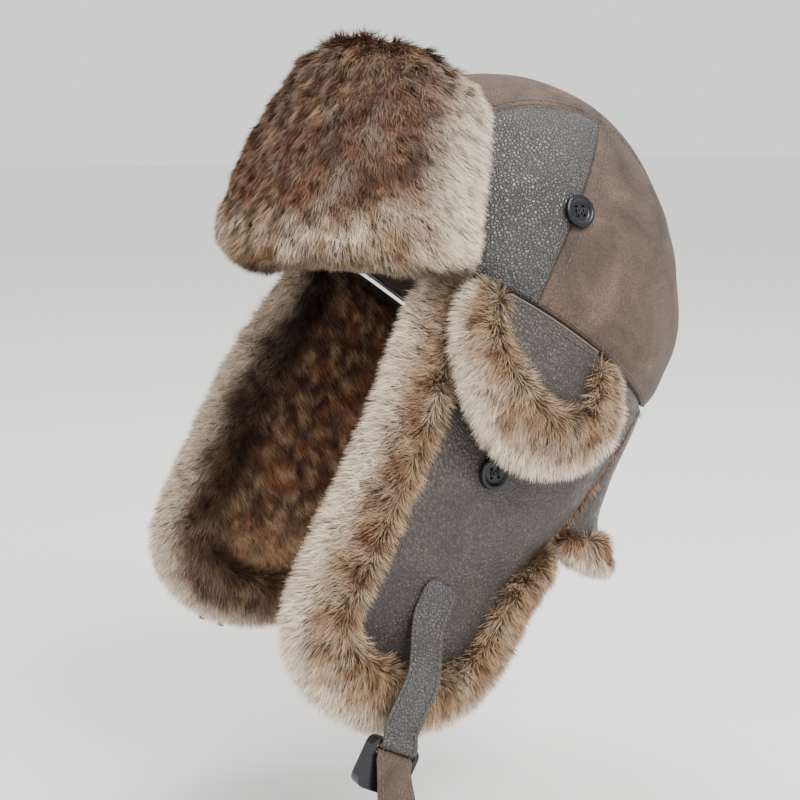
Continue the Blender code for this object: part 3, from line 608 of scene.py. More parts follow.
def mirrored_points(points, side):
    flipped = np.array(points, dtype=float)
    flipped[..., 0] *= side
    return flipped


def rolled(points, normals, distance, radius):
    """The grid with its outer edge turned down, as leather folded over itself is."""
    fall = np.clip(1 - distance / radius, 0, 1)
    return points - normals * (radius * (1 - np.sqrt(np.clip(1 - fall**2, 0, 1))))[..., None]


def ripple(points, size, seed):
    """A smooth uneven value for each point, from -1 to 1."""
    flat = points.reshape(-1, 3)
    shift = Vector((seed * 7.3, seed * 1.9, seed * 4.1))
    found = [noise.noise(Vector(p) / size + shift) for p in flat]
    return np.array(found).reshape(points.shape[:-1])


def sheet_shell(name, points, outside, thickness, finish, side=1, swell=0.0, dents=0.0, seed=0, roll=0.0009):
    """A leather sheet through a grid of points: its outside swells between its edges and rolls at them."""
    width = settings("leather").seam_width
    normals = grid_normals(points, outside)
    distance = edge_distance(points)
    middle = np.clip(distance / (4 * width), 0, 1)
    lift = swell * middle * (2 - middle) + dents * ripple(points, 0.022, seed) * middle
    front = rolled(points + normals * lift[..., None], normals, distance, roll)
    back = points - normals * thickness
    flip = mirrored_points(front, side), mirrored_points(back, side)
    return shell(name, flip[0], flip[1], finish, distance)


def loop_through(points, count):
    """A smooth closed curve of count points through a few points."""
    corners = np.array(points, dtype=float)
    total = len(corners)
    turns = np.arange(count) * total / count
    index = turns.astype(int)
    t = (turns - index)[:, None]
    a, b, c, d = (corners[(index + shift) % total] for shift in (-1, 0, 1, 2))
    return 0.5 * (2 * b + (c - a) * t + (2 * a - 5 * b + 4 * c - d) * t**2 + (3 * b - a - 3 * c + d) * t**3)


def tube_mesh(name, loops, finish):
    """A closed solid through a row of loops, which shrinks to a point past each end."""
    loops = np.array(loops)
    count, sides = loops.shape[:2]
    verts = loops.reshape(-1, 3).tolist()
    faces = []
    for i in range(count - 1):
        for k in range(sides):
            a, b = i * sides + k, i * sides + (k + 1) % sides
            faces.append((a, b, b + sides, a + sides))
    for end in (0, count - 1):
        ring = [end * sides + k for k in range(sides)]
        verts.append(loops[end].mean(axis=0).tolist())
        faces += [(ring[k], ring[(k + 1) % sides], len(verts) - 1) for k in range(sides)]
    return mesh_of(name, verts, faces, finish, 180)


def plain_mesh(made, name):
    """The evaluated mesh of an object as a new plain object, in place of the first."""
    bpy.context.view_layer.update()
    graph = bpy.context.evaluated_depsgraph_get()
    data = bpy.data.meshes.new_from_object(made.evaluated_get(graph))
    data.name = name
    bpy.data.objects.remove(made)
    return new_object(name, data)


# ---------------------------------------------------------------- materials


def add_node(tree, kind, inputs=None, **values):
    """A node with its settings and its inputs, each a value or another node's output."""
    made = tree.nodes.new(kind)
    for key, value in values.items():
        setattr(made, key, value)
    for key, value in (inputs or {}).items():
        socket = made.inputs[key]
        if isinstance(value, bpy.types.NodeSocket):
            tree.links.new(value, socket)
        else:
            socket.default_value = value
    return made


def math(tree, operation, a, b=0.0, clamp=False):
    return add_node(tree, "ShaderNodeMath", {0: a, 1: b}, operation=operation, use_clamp=clamp).outputs[0]


def stored(tree, name, kind="Fac"):
    """A value that the mesh carries."""
    return add_node(tree, "ShaderNodeAttribute", attribute_name=name).outputs[kind]


def object_place(tree):
    return add_node(tree, "ShaderNodeTexCoord").outputs["Object"]


def spread(tree, value, low, high, to_low=0.0, to_high=1.0):
    """A value moved from one range to another, and held inside it."""
    inputs = {"Value": value, "From Min": low, "From Max": high, "To Min": to_low, "To Max": to_high}
    return add_node(tree, "ShaderNodeMapRange", inputs).outputs["Result"]


def shade(base, level):
    return [part * level for part in base]


def blended(tree, share, low, high):
    """Two colours mixed, each a colour or an output."""
    values = [
        (*value, 1.0) if isinstance(value, (tuple, list)) and len(value) == 3 else value
        for value in (low, high)
    ]
    made = add_node(tree, "ShaderNodeMix", data_type="RGBA", clamp_factor=True)
    for key, value in ((0, share), (6, values[0]), (7, values[1])):
        if isinstance(value, bpy.types.NodeSocket):
            tree.links.new(value, made.inputs[key])
        else:
            made.inputs[key].default_value = value
    return made.outputs[2]


def shader_group(name, inputs, outputs):
    """A new shader node group with its inner input and output nodes."""
    tree = bpy.data.node_groups.new(name, "ShaderNodeTree")
    for key, value in inputs.items():
        tree.interface.new_socket(key, in_out="INPUT", socket_type="NodeSocketFloat").default_value = value
    for key in outputs:
        tree.interface.new_socket(key, in_out="OUTPUT", socket_type="NodeSocketFloat")
    return tree, tree.nodes.new("NodeGroupInput").outputs, tree.nodes.new("NodeGroupOutput").inputs


def leather_grain_group():
    """Pebbles with creases between them: their height, the creases, and an uneven value for each pebble."""
    tree, given, put = shader_group("Leather Grain", {"Pebble Size": 0.0017}, ("Height", "Crease", "Pebble"))
    place = object_place(tree)
    scale = math(tree, "DIVIDE", 1.0, given["Pebble Size"])
    bend = add_node(tree, "ShaderNodeTexNoise", {"Vector": place, "Scale": 260.0, "Detail": 1.0})
    moved = add_node(tree, "ShaderNodeVectorMath", {0: bend.outputs["Color"], 1: (0.0012,) * 3}, operation="MULTIPLY")
    where = add_node(tree, "ShaderNodeVectorMath", {0: place, 1: moved.outputs[0]}, operation="ADD").outputs[0]
    edges = add_node(tree, "ShaderNodeTexVoronoi", {"Vector": where, "Scale": scale}, feature="DISTANCE_TO_EDGE")
    cells = add_node(tree, "ShaderNodeTexVoronoi", {"Vector": where, "Scale": scale}, feature="F1")
    dome = spread(tree, edges.outputs["Distance"], 0.0, 0.32)
    cell = add_node(tree, "ShaderNodeSeparateColor", {"Color": cells.outputs["Color"]}).outputs[0]
    tree.links.new(math(tree, "POWER", dome, 0.55), put["Height"])
    tree.links.new(spread(tree, edges.outputs["Distance"], 0.03, 0.20, 1.0, 0.0), put["Crease"])
    tree.links.new(cell, put["Pebble"])
    return tree


def edge_wear_group():
    """How worn a sheet is near its edge, from its stored distance to the edge."""
    tree, given, put = shader_group("Edge Wear", {"Width": 0.0015, "Patchiness": 0.5}, ("Wear",))
    distance = stored(tree, "edge_distance")
    place = object_place(tree)
    patches = add_node(tree, "ShaderNodeTexNoise", {"Vector": place, "Scale": 95.0, "Detail": 4.0}).outputs["Fac"]
    near = math(tree, "SUBTRACT", 1.0, math(tree, "DIVIDE", distance, given["Width"]), clamp=True)
    missing = math(tree, "MULTIPLY", given["Patchiness"], spread(tree, patches, 0.35, 0.65))
    tree.links.new(math(tree, "MULTIPLY", near, math(tree, "SUBTRACT", 1.0, missing)), put["Wear"])
    return tree


def mottle_group():
    """Soft clouds and fine specks over the surface."""
    tree, given, put = shader_group("Mottle", {"Cloud Scale": 28.0, "Speck Scale": 900.0}, ("Clouds", "Specks"))
    place = object_place(tree)
    warp = add_node(tree, "ShaderNodeTexNoise", {"Vector": place, "Scale": given["Cloud Scale"], "Detail": 6.0})
    warp.inputs["Roughness"].default_value = 0.62
    warp.inputs["Distortion"].default_value = 0.9
    specks = add_node(tree, "ShaderNodeTexNoise", {"Vector": place, "Scale": given["Speck Scale"], "Detail": 2.0})
    tree.links.new(spread(tree, warp.outputs["Fac"], 0.32, 0.68), put["Clouds"])
    tree.links.new(spread(tree, specks.outputs["Fac"], 0.38, 0.64), put["Specks"])
    return tree


def group_node(tree, name, makers, values=None):
    """A shader group placed in a material, which is built the first time that it is asked for."""
    group = bpy.data.node_groups.get(name) or makers()
    made = tree.nodes.new("ShaderNodeGroup")
    made.node_tree = group
    for key, value in (values or {}).items():
        made.inputs[key].default_value = value
    return made.outputs


def new_material(name):
    """A new material, its tree and its Principled shader."""
    made = bpy.data.materials.new(name)
    made.use_nodes = True
    return made, made.node_tree, made.node_tree.nodes["Principled BSDF"]


def once(maker):
    """Keeps the first result of a function without arguments."""
    return lru_cache(maxsize=None)(maker)


def bump(tree, shader, height, distance, strength=1.0):
    made = add_node(tree, "ShaderNodeBump", {"Height": height, "Distance": distance, "Strength": strength})
    tree.links.new(made.outputs["Normal"], shader.inputs["Normal"])


@once
def glossy_leather():
    """Pebbled leather with a hard shine: each pebble has its own gloss."""
    values = settings("leather")
    made, tree, shader = new_material("glossy_pebbled_leather")
    grain = group_node(tree, "Leather Grain", leather_grain_group, {"Pebble Size": values.grain_size})
    wear = group_node(tree, "Edge Wear", edge_wear_group, {"Width": 0.0014, "Patchiness": 0.6})
    mottle = group_node(tree, "Mottle", mottle_group, {"Cloud Scale": 34.0})
    base = tuple(values.gloss)
    pale = blended(tree, mottle["Clouds"], shade(base, 0.70), shade(base, 1.9))
    dark = blended(tree, grain["Crease"], pale, shade(base, 0.20))
    worn = blended(tree, math(tree, "MULTIPLY", wear["Wear"], 0.12), dark, tuple(values.edge))
    tree.links.new(worn, shader.inputs["Base Color"])
    shine = spread(tree, mottle["Clouds"], 0.0, 1.0, 0.24, 0.52)
    rough = math(tree, "ADD", shine, math(tree, "MULTIPLY", grain["Crease"], 0.35))
    tree.links.new(rough, shader.inputs["Roughness"])
    bump(tree, shader, grain["Height"], 0.00038, 1.0)
    shader.inputs["Specular IOR Level"].default_value = 0.8
    return made


@once
def brushed_leather():
    """Soft brushed leather with pale clouds, darker specks and worn edges."""
    values = settings("leather")
    made, tree, shader = new_material("brushed_leather")
    mottle = group_node(tree, "Mottle", mottle_group, {"Cloud Scale": 26.0, "Speck Scale": 1100.0})
    wear = group_node(tree, "Edge Wear", edge_wear_group, {"Width": 0.0016, "Patchiness": 0.5})
    base = tuple(values.matte)
    clouds = blended(tree, mottle["Clouds"], shade(base, 0.62), shade(base, 2.1))
    specks = blended(tree, math(tree, "MULTIPLY", mottle["Specks"], 0.55), clouds, shade(base, 0.35))
    worn = blended(tree, math(tree, "MULTIPLY", wear["Wear"], 0.2), specks, tuple(values.edge))
    tree.links.new(worn, shader.inputs["Base Color"])
    tree.links.new(spread(tree, mottle["Clouds"], 0.0, 1.0, 0.58, 0.80), shader.inputs["Roughness"])
    bump(tree, shader, mottle["Specks"], 0.00018, 0.9)
    shader.inputs["Specular IOR Level"].default_value = 0.3
    return made


@once
def flap_leather():
    """Grey-brown leather with a fine dark grain and a soft sheen."""
    values = settings("leather")
    made, tree, shader = new_material("fine_grain_leather")
    grain = group_node(tree, "Leather Grain", leather_grain_group, {"Pebble Size": 0.0018})
    wear = group_node(tree, "Edge Wear", edge_wear_group, {"Width": 0.0012, "Patchiness": 0.5})
    mottle = group_node(tree, "Mottle", mottle_group, {"Cloud Scale": 22.0, "Speck Scale": 520.0})
    base = tuple(values.body)
    clouds = blended(tree, mottle["Clouds"], shade(base, 0.66), shade(base, 2.0))
    crease = math(tree, "MULTIPLY", grain["Crease"], 0.8)
    dark = blended(tree, crease, clouds, shade(base, 0.25))
    specks = blended(tree, math(tree, "MULTIPLY", mottle["Specks"], 0.65), dark, shade(base, 0.3))
    worn = blended(tree, math(tree, "MULTIPLY", wear["Wear"], 0.18), specks, tuple(values.edge))
    tree.links.new(worn, shader.inputs["Base Color"])
    tree.links.new(spread(tree, grain["Pebble"], 0.0, 1.0, 0.34, 0.58), shader.inputs["Roughness"])
    bump(tree, shader, grain["Height"], 0.00030, 1.0)
    return made


@once
def worn_edge():
    """The pale flesh side of leather, rubbed bare along a fold."""
    values = settings("leather")
    made, tree, shader = new_material("worn_leather_edge")
    mottle = group_node(tree, "Mottle", mottle_group, {"Cloud Scale": 120.0, "Speck Scale": 1500.0})
    base = tuple(values.edge)
    clouds = blended(tree, mottle["Clouds"], shade(base, 0.55), base)
    specks = blended(tree, math(tree, "MULTIPLY", mottle["Specks"], 0.6), clouds, shade(base, 0.35))
    tree.links.new(specks, shader.inputs["Base Color"])
    shader.inputs["Roughness"].default_value = 0.7
    bump(tree, shader, mottle["Specks"], 0.00015)
    return made


@once
def button_cord():
    """Dark sewing thread over the buttons."""
    made, tree, shader = new_material("button_thread")
    place = object_place(tree)
    ply = add_node(tree, "ShaderNodeTexWave", {"Vector": place, "Scale": 1400.0, "Distortion": 1.5}).outputs["Fac"]
    tree.links.new(blended(tree, ply, (0.006, 0.006, 0.007), (0.030, 0.029, 0.030)), shader.inputs["Base Color"])
    shader.inputs["Roughness"].default_value = 0.7
    bump(tree, shader, ply, 0.00008)
    return made


@once
def thread():
    values = settings("leather")
    made, tree, shader = new_material("waxed_thread")
    place = object_place(tree)
    ply = add_node(tree, "ShaderNodeTexWave", {"Vector": place, "Scale": 900.0, "Distortion": 2.0}).outputs["Fac"]
    base = tuple(values.thread)
    tree.links.new(blended(tree, ply, base, [min(c * 2.6, 1.0) for c in base]), shader.inputs["Base Color"])
    shader.inputs["Roughness"].default_value = 0.6
    bump(tree, shader, ply, 0.00005)
    return made


@once
def fur_strands():
    """Each strand is darker towards its root, as painted shade inside the pile, and pale at its tip, over the colour
    stored for its place.
    """
    made, tree, shader = new_material("fur_strands")
    tone = stored(tree, "fur_tone", "Color")
    tip, chance, guard = (stored(tree, "fur_" + name) for name in ("tip", "random", "guard"))
    values = settings("fur")
    # Painted shade: a strand's colour falls to 0.42 of its tone at the root, where the pile is shaded, and rises to
    # 1.10 at the tip.
    reach = add_node(tree, "ShaderNodeMapRange", {"Value": tip, "To Min": 0.42, "To Max": 1.10}).outputs["Result"]
    level = math(tree, "MULTIPLY", reach, spread(tree, chance, 0.0, 1.0, 0.58, 1.34))
    lit = add_node(tree, "ShaderNodeVectorMath", {0: tone, "Scale": level}, operation="SCALE").outputs[0]
    pale = blended(tree, math(tree, "MULTIPLY", math(tree, "POWER", tip, 3.0), 0.10), lit, tuple(values.cream))
    is_guard = math(tree, "LESS_THAN", chance, guard)
    share = math(tree, "MULTIPLY", is_guard, 0.75)
    tree.links.new(blended(tree, share, pale, tuple(values.guard)), shader.inputs["Base Color"])
    shader.inputs["Roughness"].default_value = 0.6
    shader.inputs["Specular IOR Level"].default_value = 0.12
    return made


@once
def fur_skin():
    """The short dense pile that the strands stand in, darkened as painted shade at the bottom of the pile."""
    made, tree, shader = new_material("fur_undercoat")
    tone = stored(tree, "fur_tone", "Color")
    place = object_place(tree)
    fine = add_node(tree, "ShaderNodeTexNoise", {"Vector": place, "Scale": 900.0, "Detail": 3.0}).outputs["Fac"]
    # Painted shade: the skin's colour is 0.16 to 0.42 of the stored tone, for the shade deep in the pile.
    level = spread(tree, fine, 0.3, 0.7, 0.16, 0.42)
    dark = add_node(tree, "ShaderNodeVectorMath", {0: tone, "Scale": level}, operation="SCALE").outputs[0]
    tree.links.new(dark, shader.inputs["Base Color"])
    shader.inputs["Roughness"].default_value = 0.95
    bump(tree, shader, fine, 0.0004)
    return made


@once
def quilted_satin():
    values = settings("trim")
    made, tree, shader = new_material("quilted_satin")
    place = object_place(tree)
    weave = add_node(tree, "ShaderNodeTexWave", {"Vector": place, "Scale": 1300.0, "Distortion": 0.6}).outputs["Fac"]
    base = tuple(values.lining)
    tree.links.new(blended(tree, weave, base, shade(base, 1.5)), shader.inputs["Base Color"])
    tree.links.new(spread(tree, weave, 0.0, 1.0, 0.32, 0.46), shader.inputs["Roughness"])
    bump(tree, shader, weave, 0.00004)
    return made


@once
def felt():
    values = settings("trim")
    made, tree, shader = new_material("pressed_wadding")
    place = object_place(tree)
    fibre = add_node(tree, "ShaderNodeTexNoise", {"Vector": place, "Scale": 700.0, "Detail": 5.0}).outputs["Fac"]
    base = tuple(values.wadding)
    tree.links.new(blended(tree, fibre, shade(base, 0.7), base), shader.inputs["Base Color"])
    shader.inputs["Roughness"].default_value = 0.95
    bump(tree, shader, fibre, 0.0004)
    return made


@once
def polished_plastic():
    """Near-black moulded plastic with a faint swirl and fine scuffs in its gloss."""
    values = settings("trim")
    made, tree, shader = new_material("polished_plastic")
    place = object_place(tree)
    swirl = add_node(tree, "ShaderNodeTexNoise", {"Vector": place, "Scale": 160.0, "Detail": 3.0, "Distortion": 2.0})
    scuff = add_node(tree, "ShaderNodeTexNoise", {"Vector": place, "Scale": 1500.0, "Detail": 2.0}).outputs["Fac"]
    base = tuple(values.plastic)
    colours = blended(tree, swirl.outputs["Fac"], base, shade(base, 3.0))
    tree.links.new(colours, shader.inputs["Base Color"])
    tree.links.new(spread(tree, scuff, 0.35, 0.7, 0.16, 0.34), shader.inputs["Roughness"])
    shader.inputs["Specular IOR Level"].default_value = 0.35
    bump(tree, shader, scuff, 0.00001, 0.4)
    return made


@once
def elastic_cord():
    made, tree, shader = new_material("elastic_cord")
    place = object_place(tree)
    braid = add_node(tree, "ShaderNodeTexWave", {"Vector": place, "Scale": 1500.0, "Distortion": 1.0}).outputs["Fac"]
    tree.links.new(blended(tree, braid, (0.008, 0.008, 0.010), (0.035, 0.034, 0.036)), shader.inputs["Base Color"])
    shader.inputs["Roughness"].default_value = 0.75
    bump(tree, shader, braid, 0.00015)
    return made


# ---------------------------------------------------------------- fur


STRAND_VERTS = 5
MOST_STRANDS = 64000


def strand_shape():
    """One strand, a unit long and a unit wide, which bends towards +Y and faces -Y."""
    verts = [(-0.5, 0, 0), (0.5, 0, 0), (-0.4, 0.09, 0.5), (0.4, 0.09, 0.5), (0, 0.34, 0.93)]
    data = bpy.data.meshes.new("strand")
    data.from_pydata(verts, [], [(0, 1, 3, 2), (2, 3, 4)])
    set_attribute(data, "fur_tip", [0, 0, 0.55, 0.55, 1])
    return new_object("strand", data)


def geometry_tree(name):
    """A new Geometry Nodes tree with geometry in and out."""
    tree = bpy.data.node_groups.new(name, "GeometryNodeTree")
    for way in ("INPUT", "OUTPUT"):
        tree.interface.new_socket("Geometry", in_out=way, socket_type="NodeSocketGeometry")
    return tree


def tree_socket(tree, name, kind, value=None):
    socket = tree.interface.new_socket(name, in_out="INPUT", socket_type="NodeSocket" + kind)
    if value is not None:
        socket.default_value = value


@once
def fur_tree():
    """Strands scattered over a skin, combed along its stored direction and gathered in tufts."""
    tree = geometry_tree("Fur")
    tree_socket(tree, "Strand", "Object")
    for name, value in (("Density", 1e6), ("Pile", 0.012), ("Strand Width", 0.0004), ("Tuft Size", 0.008)):
        tree_socket(tree, name, "Float", value)
    for name, value in (("Tuft Strength", 0.8), ("Lean", 1.0), ("Scatter", 0.3)):
        tree_socket(tree, name, "Float", value)
    tree_socket(tree, "Seed", "Int", 0)
    tree_socket(tree, "Material", "Material")
    given = tree.nodes.new("NodeGroupInput").outputs
    grow, comb = (
        add_node(tree, "GeometryNodeInputNamedAttribute", {"Name": name}, data_type=kind).outputs["Attribute"]
        for name, kind in (("fur_grow", "FLOAT"), ("fur_comb", "FLOAT_VECTOR"))
    )
    scattered = add_node(
        tree,
        "GeometryNodeDistributePointsOnFaces",
        {"Mesh": given["Geometry"], "Density": math(tree, "MULTIPLY", given["Density"], grow), "Seed": given["Seed"]},
    ).outputs
    way = strand_way(tree, given, scattered["Normal"], comb)
    turned = add_node(tree, "FunctionNodeAlignRotationToVector", {"Vector": way}, axis="Z").outputs[0]
    faced = add_node(
        tree, "FunctionNodeAlignRotationToVector", {"Rotation": turned, "Vector": comb}, axis="Y", pivot_axis="Z"
    ).outputs[0]
    roll = random_value(tree, given["Seed"], -0.9, 0.9, 3)
    angles = add_node(tree, "ShaderNodeCombineXYZ", {"Z": roll}).outputs[0]
    local = add_node(tree, "FunctionNodeEulerToRotation", {0: angles}).outputs[0]
    rotation = add_node(
        tree, "FunctionNodeRotateRotation", {"Rotation": faced, "Rotate By": local}, rotation_space="LOCAL"
    ).outputs[0]
    tall = math(tree, "MULTIPLY", given["Pile"], random_value(tree, given["Seed"], 0.62, 1.12, 5))
    wide = math(tree, "MULTIPLY", given["Strand Width"], random_value(tree, given["Seed"], 0.7, 1.3, 7))
    scale = add_node(tree, "ShaderNodeCombineXYZ", {"X": wide, "Y": tall, "Z": tall}).outputs[0]
    kept = add_node(
        tree,
        "GeometryNodeStoreNamedAttribute",
        {"Geometry": scattered["Points"], "Name": "fur_random", "Value": random_value(tree, given["Seed"], 0, 1, 9)},
        data_type="FLOAT",
    ).outputs[0]
    strand = add_node(tree, "GeometryNodeObjectInfo", {"Object": given["Strand"]}).outputs["Geometry"]
    placed = add_node(
        tree,
        "GeometryNodeInstanceOnPoints",
        {"Points": kept, "Instance": strand, "Rotation": rotation, "Scale": scale},
    ).outputs[0]
    finish_tree(tree, placed, given["Material"])
    return tree


def random_value(tree, seed, low, high, shift):
    """A random number for each strand."""
    moved = add_node(tree, "ShaderNodeMath", {0: seed, 1: float(shift)}, operation="ADD").outputs[0]
    made = add_node(tree, "FunctionNodeRandomValue", data_type="FLOAT")
    made.inputs[2].default_value = low
    made.inputs[3].default_value = high
    tree.links.new(moved, made.inputs["Seed"])
    return made.outputs[1]


def vector_math(tree, operation, a, b=None, scale=None):
    inputs = {0: a}
    if b is not None:
        inputs[1] = b
    if scale is not None:
        inputs["Scale"] = scale
    return add_node(tree, "ShaderNodeVectorMath", inputs, operation=operation).outputs[0]


def strand_way(tree, given, normal, comb):
    """The direction of a strand: off the skin, along the comb, with its tuft, and a little at random."""
    place = add_node(tree, "GeometryNodeInputPosition").outputs[0]
    scale = math(tree, "DIVIDE", 1.0, given["Tuft Size"])
    tufts = add_node(tree, "ShaderNodeTexNoise", {"Vector": place, "Scale": scale, "Detail": 2.0}).outputs["Color"]
    middle = vector_math(tree, "SUBTRACT", tufts, (0.5, 0.5, 0.5))
    tuft = vector_math(tree, "SCALE", middle, scale=math(tree, "MULTIPLY", given["Tuft Strength"], 4.0))
    chance = add_node(tree, "FunctionNodeRandomValue", data_type="FLOAT_VECTOR")
    chance.inputs[0].default_value = (-1, -1, -1)
    chance.inputs[1].default_value = (1, 1, 1)
    tree.links.new(given["Seed"], chance.inputs["Seed"])
    stray = vector_math(tree, "SCALE", chance.outputs[0], scale=given["Scatter"])
    combed = vector_math(tree, "SCALE", comb, scale=given["Lean"])
    return vector_math(tree, "ADD", vector_math(tree, "ADD", normal, combed), vector_math(tree, "ADD", tuft, stray))


def finish_tree(tree, geometry, material):
    """Ends a tree: real geometry with one material."""
    real = add_node(tree, "GeometryNodeRealizeInstances", {"Geometry": geometry}).outputs[0]
    painted = add_node(tree, "GeometryNodeSetMaterial", {"Geometry": real, "Material": material}).outputs[0]
    out = tree.nodes.new("NodeGroupOutput")
    tree.links.new(painted, out.inputs[0])


def set_inputs(modifier, values):
    """Sets a Geometry Nodes modifier's inputs by their sockets' identifiers."""
    for item in modifier.node_group.interface.items_tree:
        if item.item_type == "SOCKET" and item.in_out == "INPUT" and item.name in values:
            modifier[item.identifier] = values[item.name]


def strand_map(data):
    """Gives every strand its own cell of a square map, with its length along v."""
    count = len(data.vertices) // STRAND_VERTS
    side = int(np.ceil(np.sqrt(count)))
    index = np.arange(count)
    corner = np.stack([index % side, index // side], axis=1)
    shape = np.array([(0.2, 0.1), (0.8, 0.1), (0.75, 0.5), (0.25, 0.5), (0.25, 0.5), (0.75, 0.5), (0.5, 0.9)])
    places = (corner[:, None, :] + shape[None]) / side
    data.uv_layers.new(name="OFBake").data.foreach_set("uv", places.astype(np.float32).ravel())


def skin_area(skin):
    grow = np.empty(len(skin.data.vertices), dtype=np.float32)
    skin.data.attributes["fur_grow"].data.foreach_get("value", grow)
    return sum(face.area * grow[list(face.vertices)].mean() for face in skin.data.polygons)


def grow_fur(skin, name, seed, pile=1.0, dense=1.0, lean=1.1, scatter=0.17):
    """The strands of a skin, as plain meshes of a size that stays easy to handle."""
    values = settings("fur")
    density = values.density * 1e4 * dense * 1.0
    parts = max(1, int(np.ceil(skin_area(skin) * density / MOST_STRANDS)))
    strand = strand_shape()
    made = []
    for part in range(parts):
        worker = new_object(name, skin.data.copy())
        modifier = worker.modifiers.new("fur", "NODES")
        modifier.node_group = fur_tree()
        inputs = {
            "Strand": strand,
            "Density": density / parts,
            "Pile": values.pile * pile,
            "Strand Width": values.strand_width * 1.0,
            "Tuft Size": values.tuft_size,
            "Tuft Strength": values.tuft_strength,
            "Lean": lean,
            "Scatter": scatter,
            "Seed": seed * 100 + part * 11,
            "Material": fur_strands(),
        }
        set_inputs(modifier, inputs)
        strands = plain_mesh(worker, f"{name}_{part + 1}" if parts > 1 else name)
        for unused in ("fur_comb", "fur_grow"):
            strands.data.attributes.remove(strands.data.attributes[unused])
        strand_map(strands.data)
        made.append(strands)
    bpy.data.objects.remove(strand)
    return made


def coloured(skin, tone, guard, comb, grow):
    """Stores what the strands read from their skin."""
    rgba = np.concatenate([np.clip(tone, 0, 1), np.ones((len(tone), 1))], axis=1)
    set_attribute(skin.data, "fur_tone", rgba, "FLOAT_COLOR")
    set_attribute(skin.data, "fur_guard", guard)
    set_attribute(skin.data, "fur_comb", comb, "FLOAT_VECTOR")
    set_attribute(skin.data, "fur_grow", grow)


def fade(values, low, high):
    """0 below low, 1 above high, and a smooth rise between them."""
    share = np.clip((values - low) / (high - low), 0, 1)
    return share * share * (3 - 2 * share)


def tinted(base, share, tone):
    return base + (np.array(tone) - base) * np.asarray(share)[..., None]


def patches(points, size, seed, low=-0.15, high=0.25):
    """Soft-edged patches over the points, as shares from 0 to 1."""
    fine = ripple(points, size, seed) + 0.45 * ripple(points, size * 0.4, seed + 3)
    return fade(fine, low, high)


def sewn_line(body):
    """The body that a sewn piece hangs from, and two points, on its seam and below it."""
    side = -1 if body.endswith("right") else 1
    if body.startswith("ear_flap"):
        places = (flap_point(0.0, 0.0), flap_point(0.0, FLAP_BEND))
        return ("crown", *(mirror_of(point, side) for point in places))
    if body.startswith("ear_cover"):
        places = (cover_surface(-0.02, 0.0), cover_surface(-0.02, COVER_BEND))
        return ("ear_flap_" + side_name(side), *(mirror_of(point, side) for point in places))
    if body == "neck_curtain":
        return "crown", curtain_point(0.5, 0.0), curtain_point(0.5, CURTAIN_BEND)
    return None


def attach(piece, body):
    """Puts a piece on its body, but only bakes a sewn one's transform into its mesh."""
    line = sewn_line(body)
    if line:
        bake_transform(piece)
    else:
        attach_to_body(piece, body)


def add_coat(skin, node, body, seed, **how):
    """Grows a skin's strands, and puts skin and strands in place of the node, on their body unless it is sewn."""
    strands = grow_fur(skin, skin.name.replace("_skin", "_strands"), seed, **how)
    for piece in [skin] + strands:
        attach(piece, body)
    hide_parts(node)
    return strands


# ---------------------------------------------------------------- stitches


@once
def stitch_tree():
    """One stitch after another along curves."""
    tree = geometry_tree("Stitches")
    tree_socket(tree, "Stitch", "Object")
    tree_socket(tree, "Spacing", "Float", 0.0034)
    tree_socket(tree, "Length", "Float", 0.0026)
    tree_socket(tree, "Material", "Material")
    given = tree.nodes.new("NodeGroupInput").outputs
    points = add_node(tree, "GeometryNodeCurveToPoints", {"Curve": given["Geometry"]}, mode="LENGTH")
    tree.links.new(given["Spacing"], points.inputs["Length"])
    along = add_node(
        tree, "FunctionNodeAlignRotationToVector", {"Vector": points.outputs["Tangent"]}, axis="Z"
    ).outputs[0]
    scale = add_node(tree, "ShaderNodeCombineXYZ", {"X": 0.0003, "Y": 0.0003, "Z": given["Length"]}).outputs[0]
    stitch = add_node(tree, "GeometryNodeObjectInfo", {"Object": given["Stitch"]}).outputs["Geometry"]
    placed = add_node(
        tree,
        "GeometryNodeInstanceOnPoints",
        {"Points": points.outputs["Points"], "Instance": stitch, "Rotation": along, "Scale": scale},
    ).outputs[0]
    finish_tree(tree, placed, given["Material"])
    return tree


def stitch_shape():
    """A unit long stitch that thins to both ends."""
    work = bmesh.new()
    rings = []
    for height, radius in ((-0.5, 0.45), (-0.25, 1.0), (0.25, 1.0), (0.5, 0.45)):
        turns = full_turn(6)
        rings.append([work.verts.new((radius * cos(t), radius * sin(t), height)) for t in turns])
    for low, high in zip(rings, rings[1:]):
        for k in range(6):
            after = (k + 1) % 6
            work.faces.new((low[k], low[after], high[after], high[k]))
    work.faces.new(rings[0][::-1])
    work.faces.new(rings[-1])
    data = bpy.data.meshes.new("stitch")
    work.to_mesh(data)
    work.free()
    data.shade_smooth()
    return new_object("stitch", data)


def stitches_for(name, paths):
    """Rows of stitches along paths of points."""
    values = settings("leather")
    curve = bpy.data.curves.new(name, "CURVE")
    curve.dimensions = "3D"
    for path in paths:
        spline = curve.splines.new("POLY")
        spline.points.add(len(path) - 1)
        spline.points.foreach_set("co", [c for point in path for c in (*point, 1.0)])
    worker = new_object(name, curve)
    stitch = stitch_shape()
    modifier = worker.modifiers.new("stitches", "NODES")
    modifier.node_group = stitch_tree()
    inputs = {
        "Stitch": stitch,
        "Spacing": values.stitch_spacing,
        "Length": values.stitch_length,
        "Material": thread(),
    }
    set_inputs(modifier, inputs)
    made = plain_mesh(worker, name)
    bpy.data.objects.remove(stitch)
    return made


def stitching(name, paths, body):
    """Rows of stitches that go with a body."""
    made = stitches_for(name, paths)
    attach(made, body)
    return made


def laid_on(points, piece, lift=0.00016):
    """Points moved onto a piece's surface, and a little off it."""
    work = bmesh.new()
    work.from_mesh(piece.data)
    tree = BVHTree.FromBMesh(work)
    work.free()
    laid = []
    for point in points:
        place, normal, _, _ = tree.find_nearest(Vector(point))
        laid.append(place + normal * lift)
    return laid


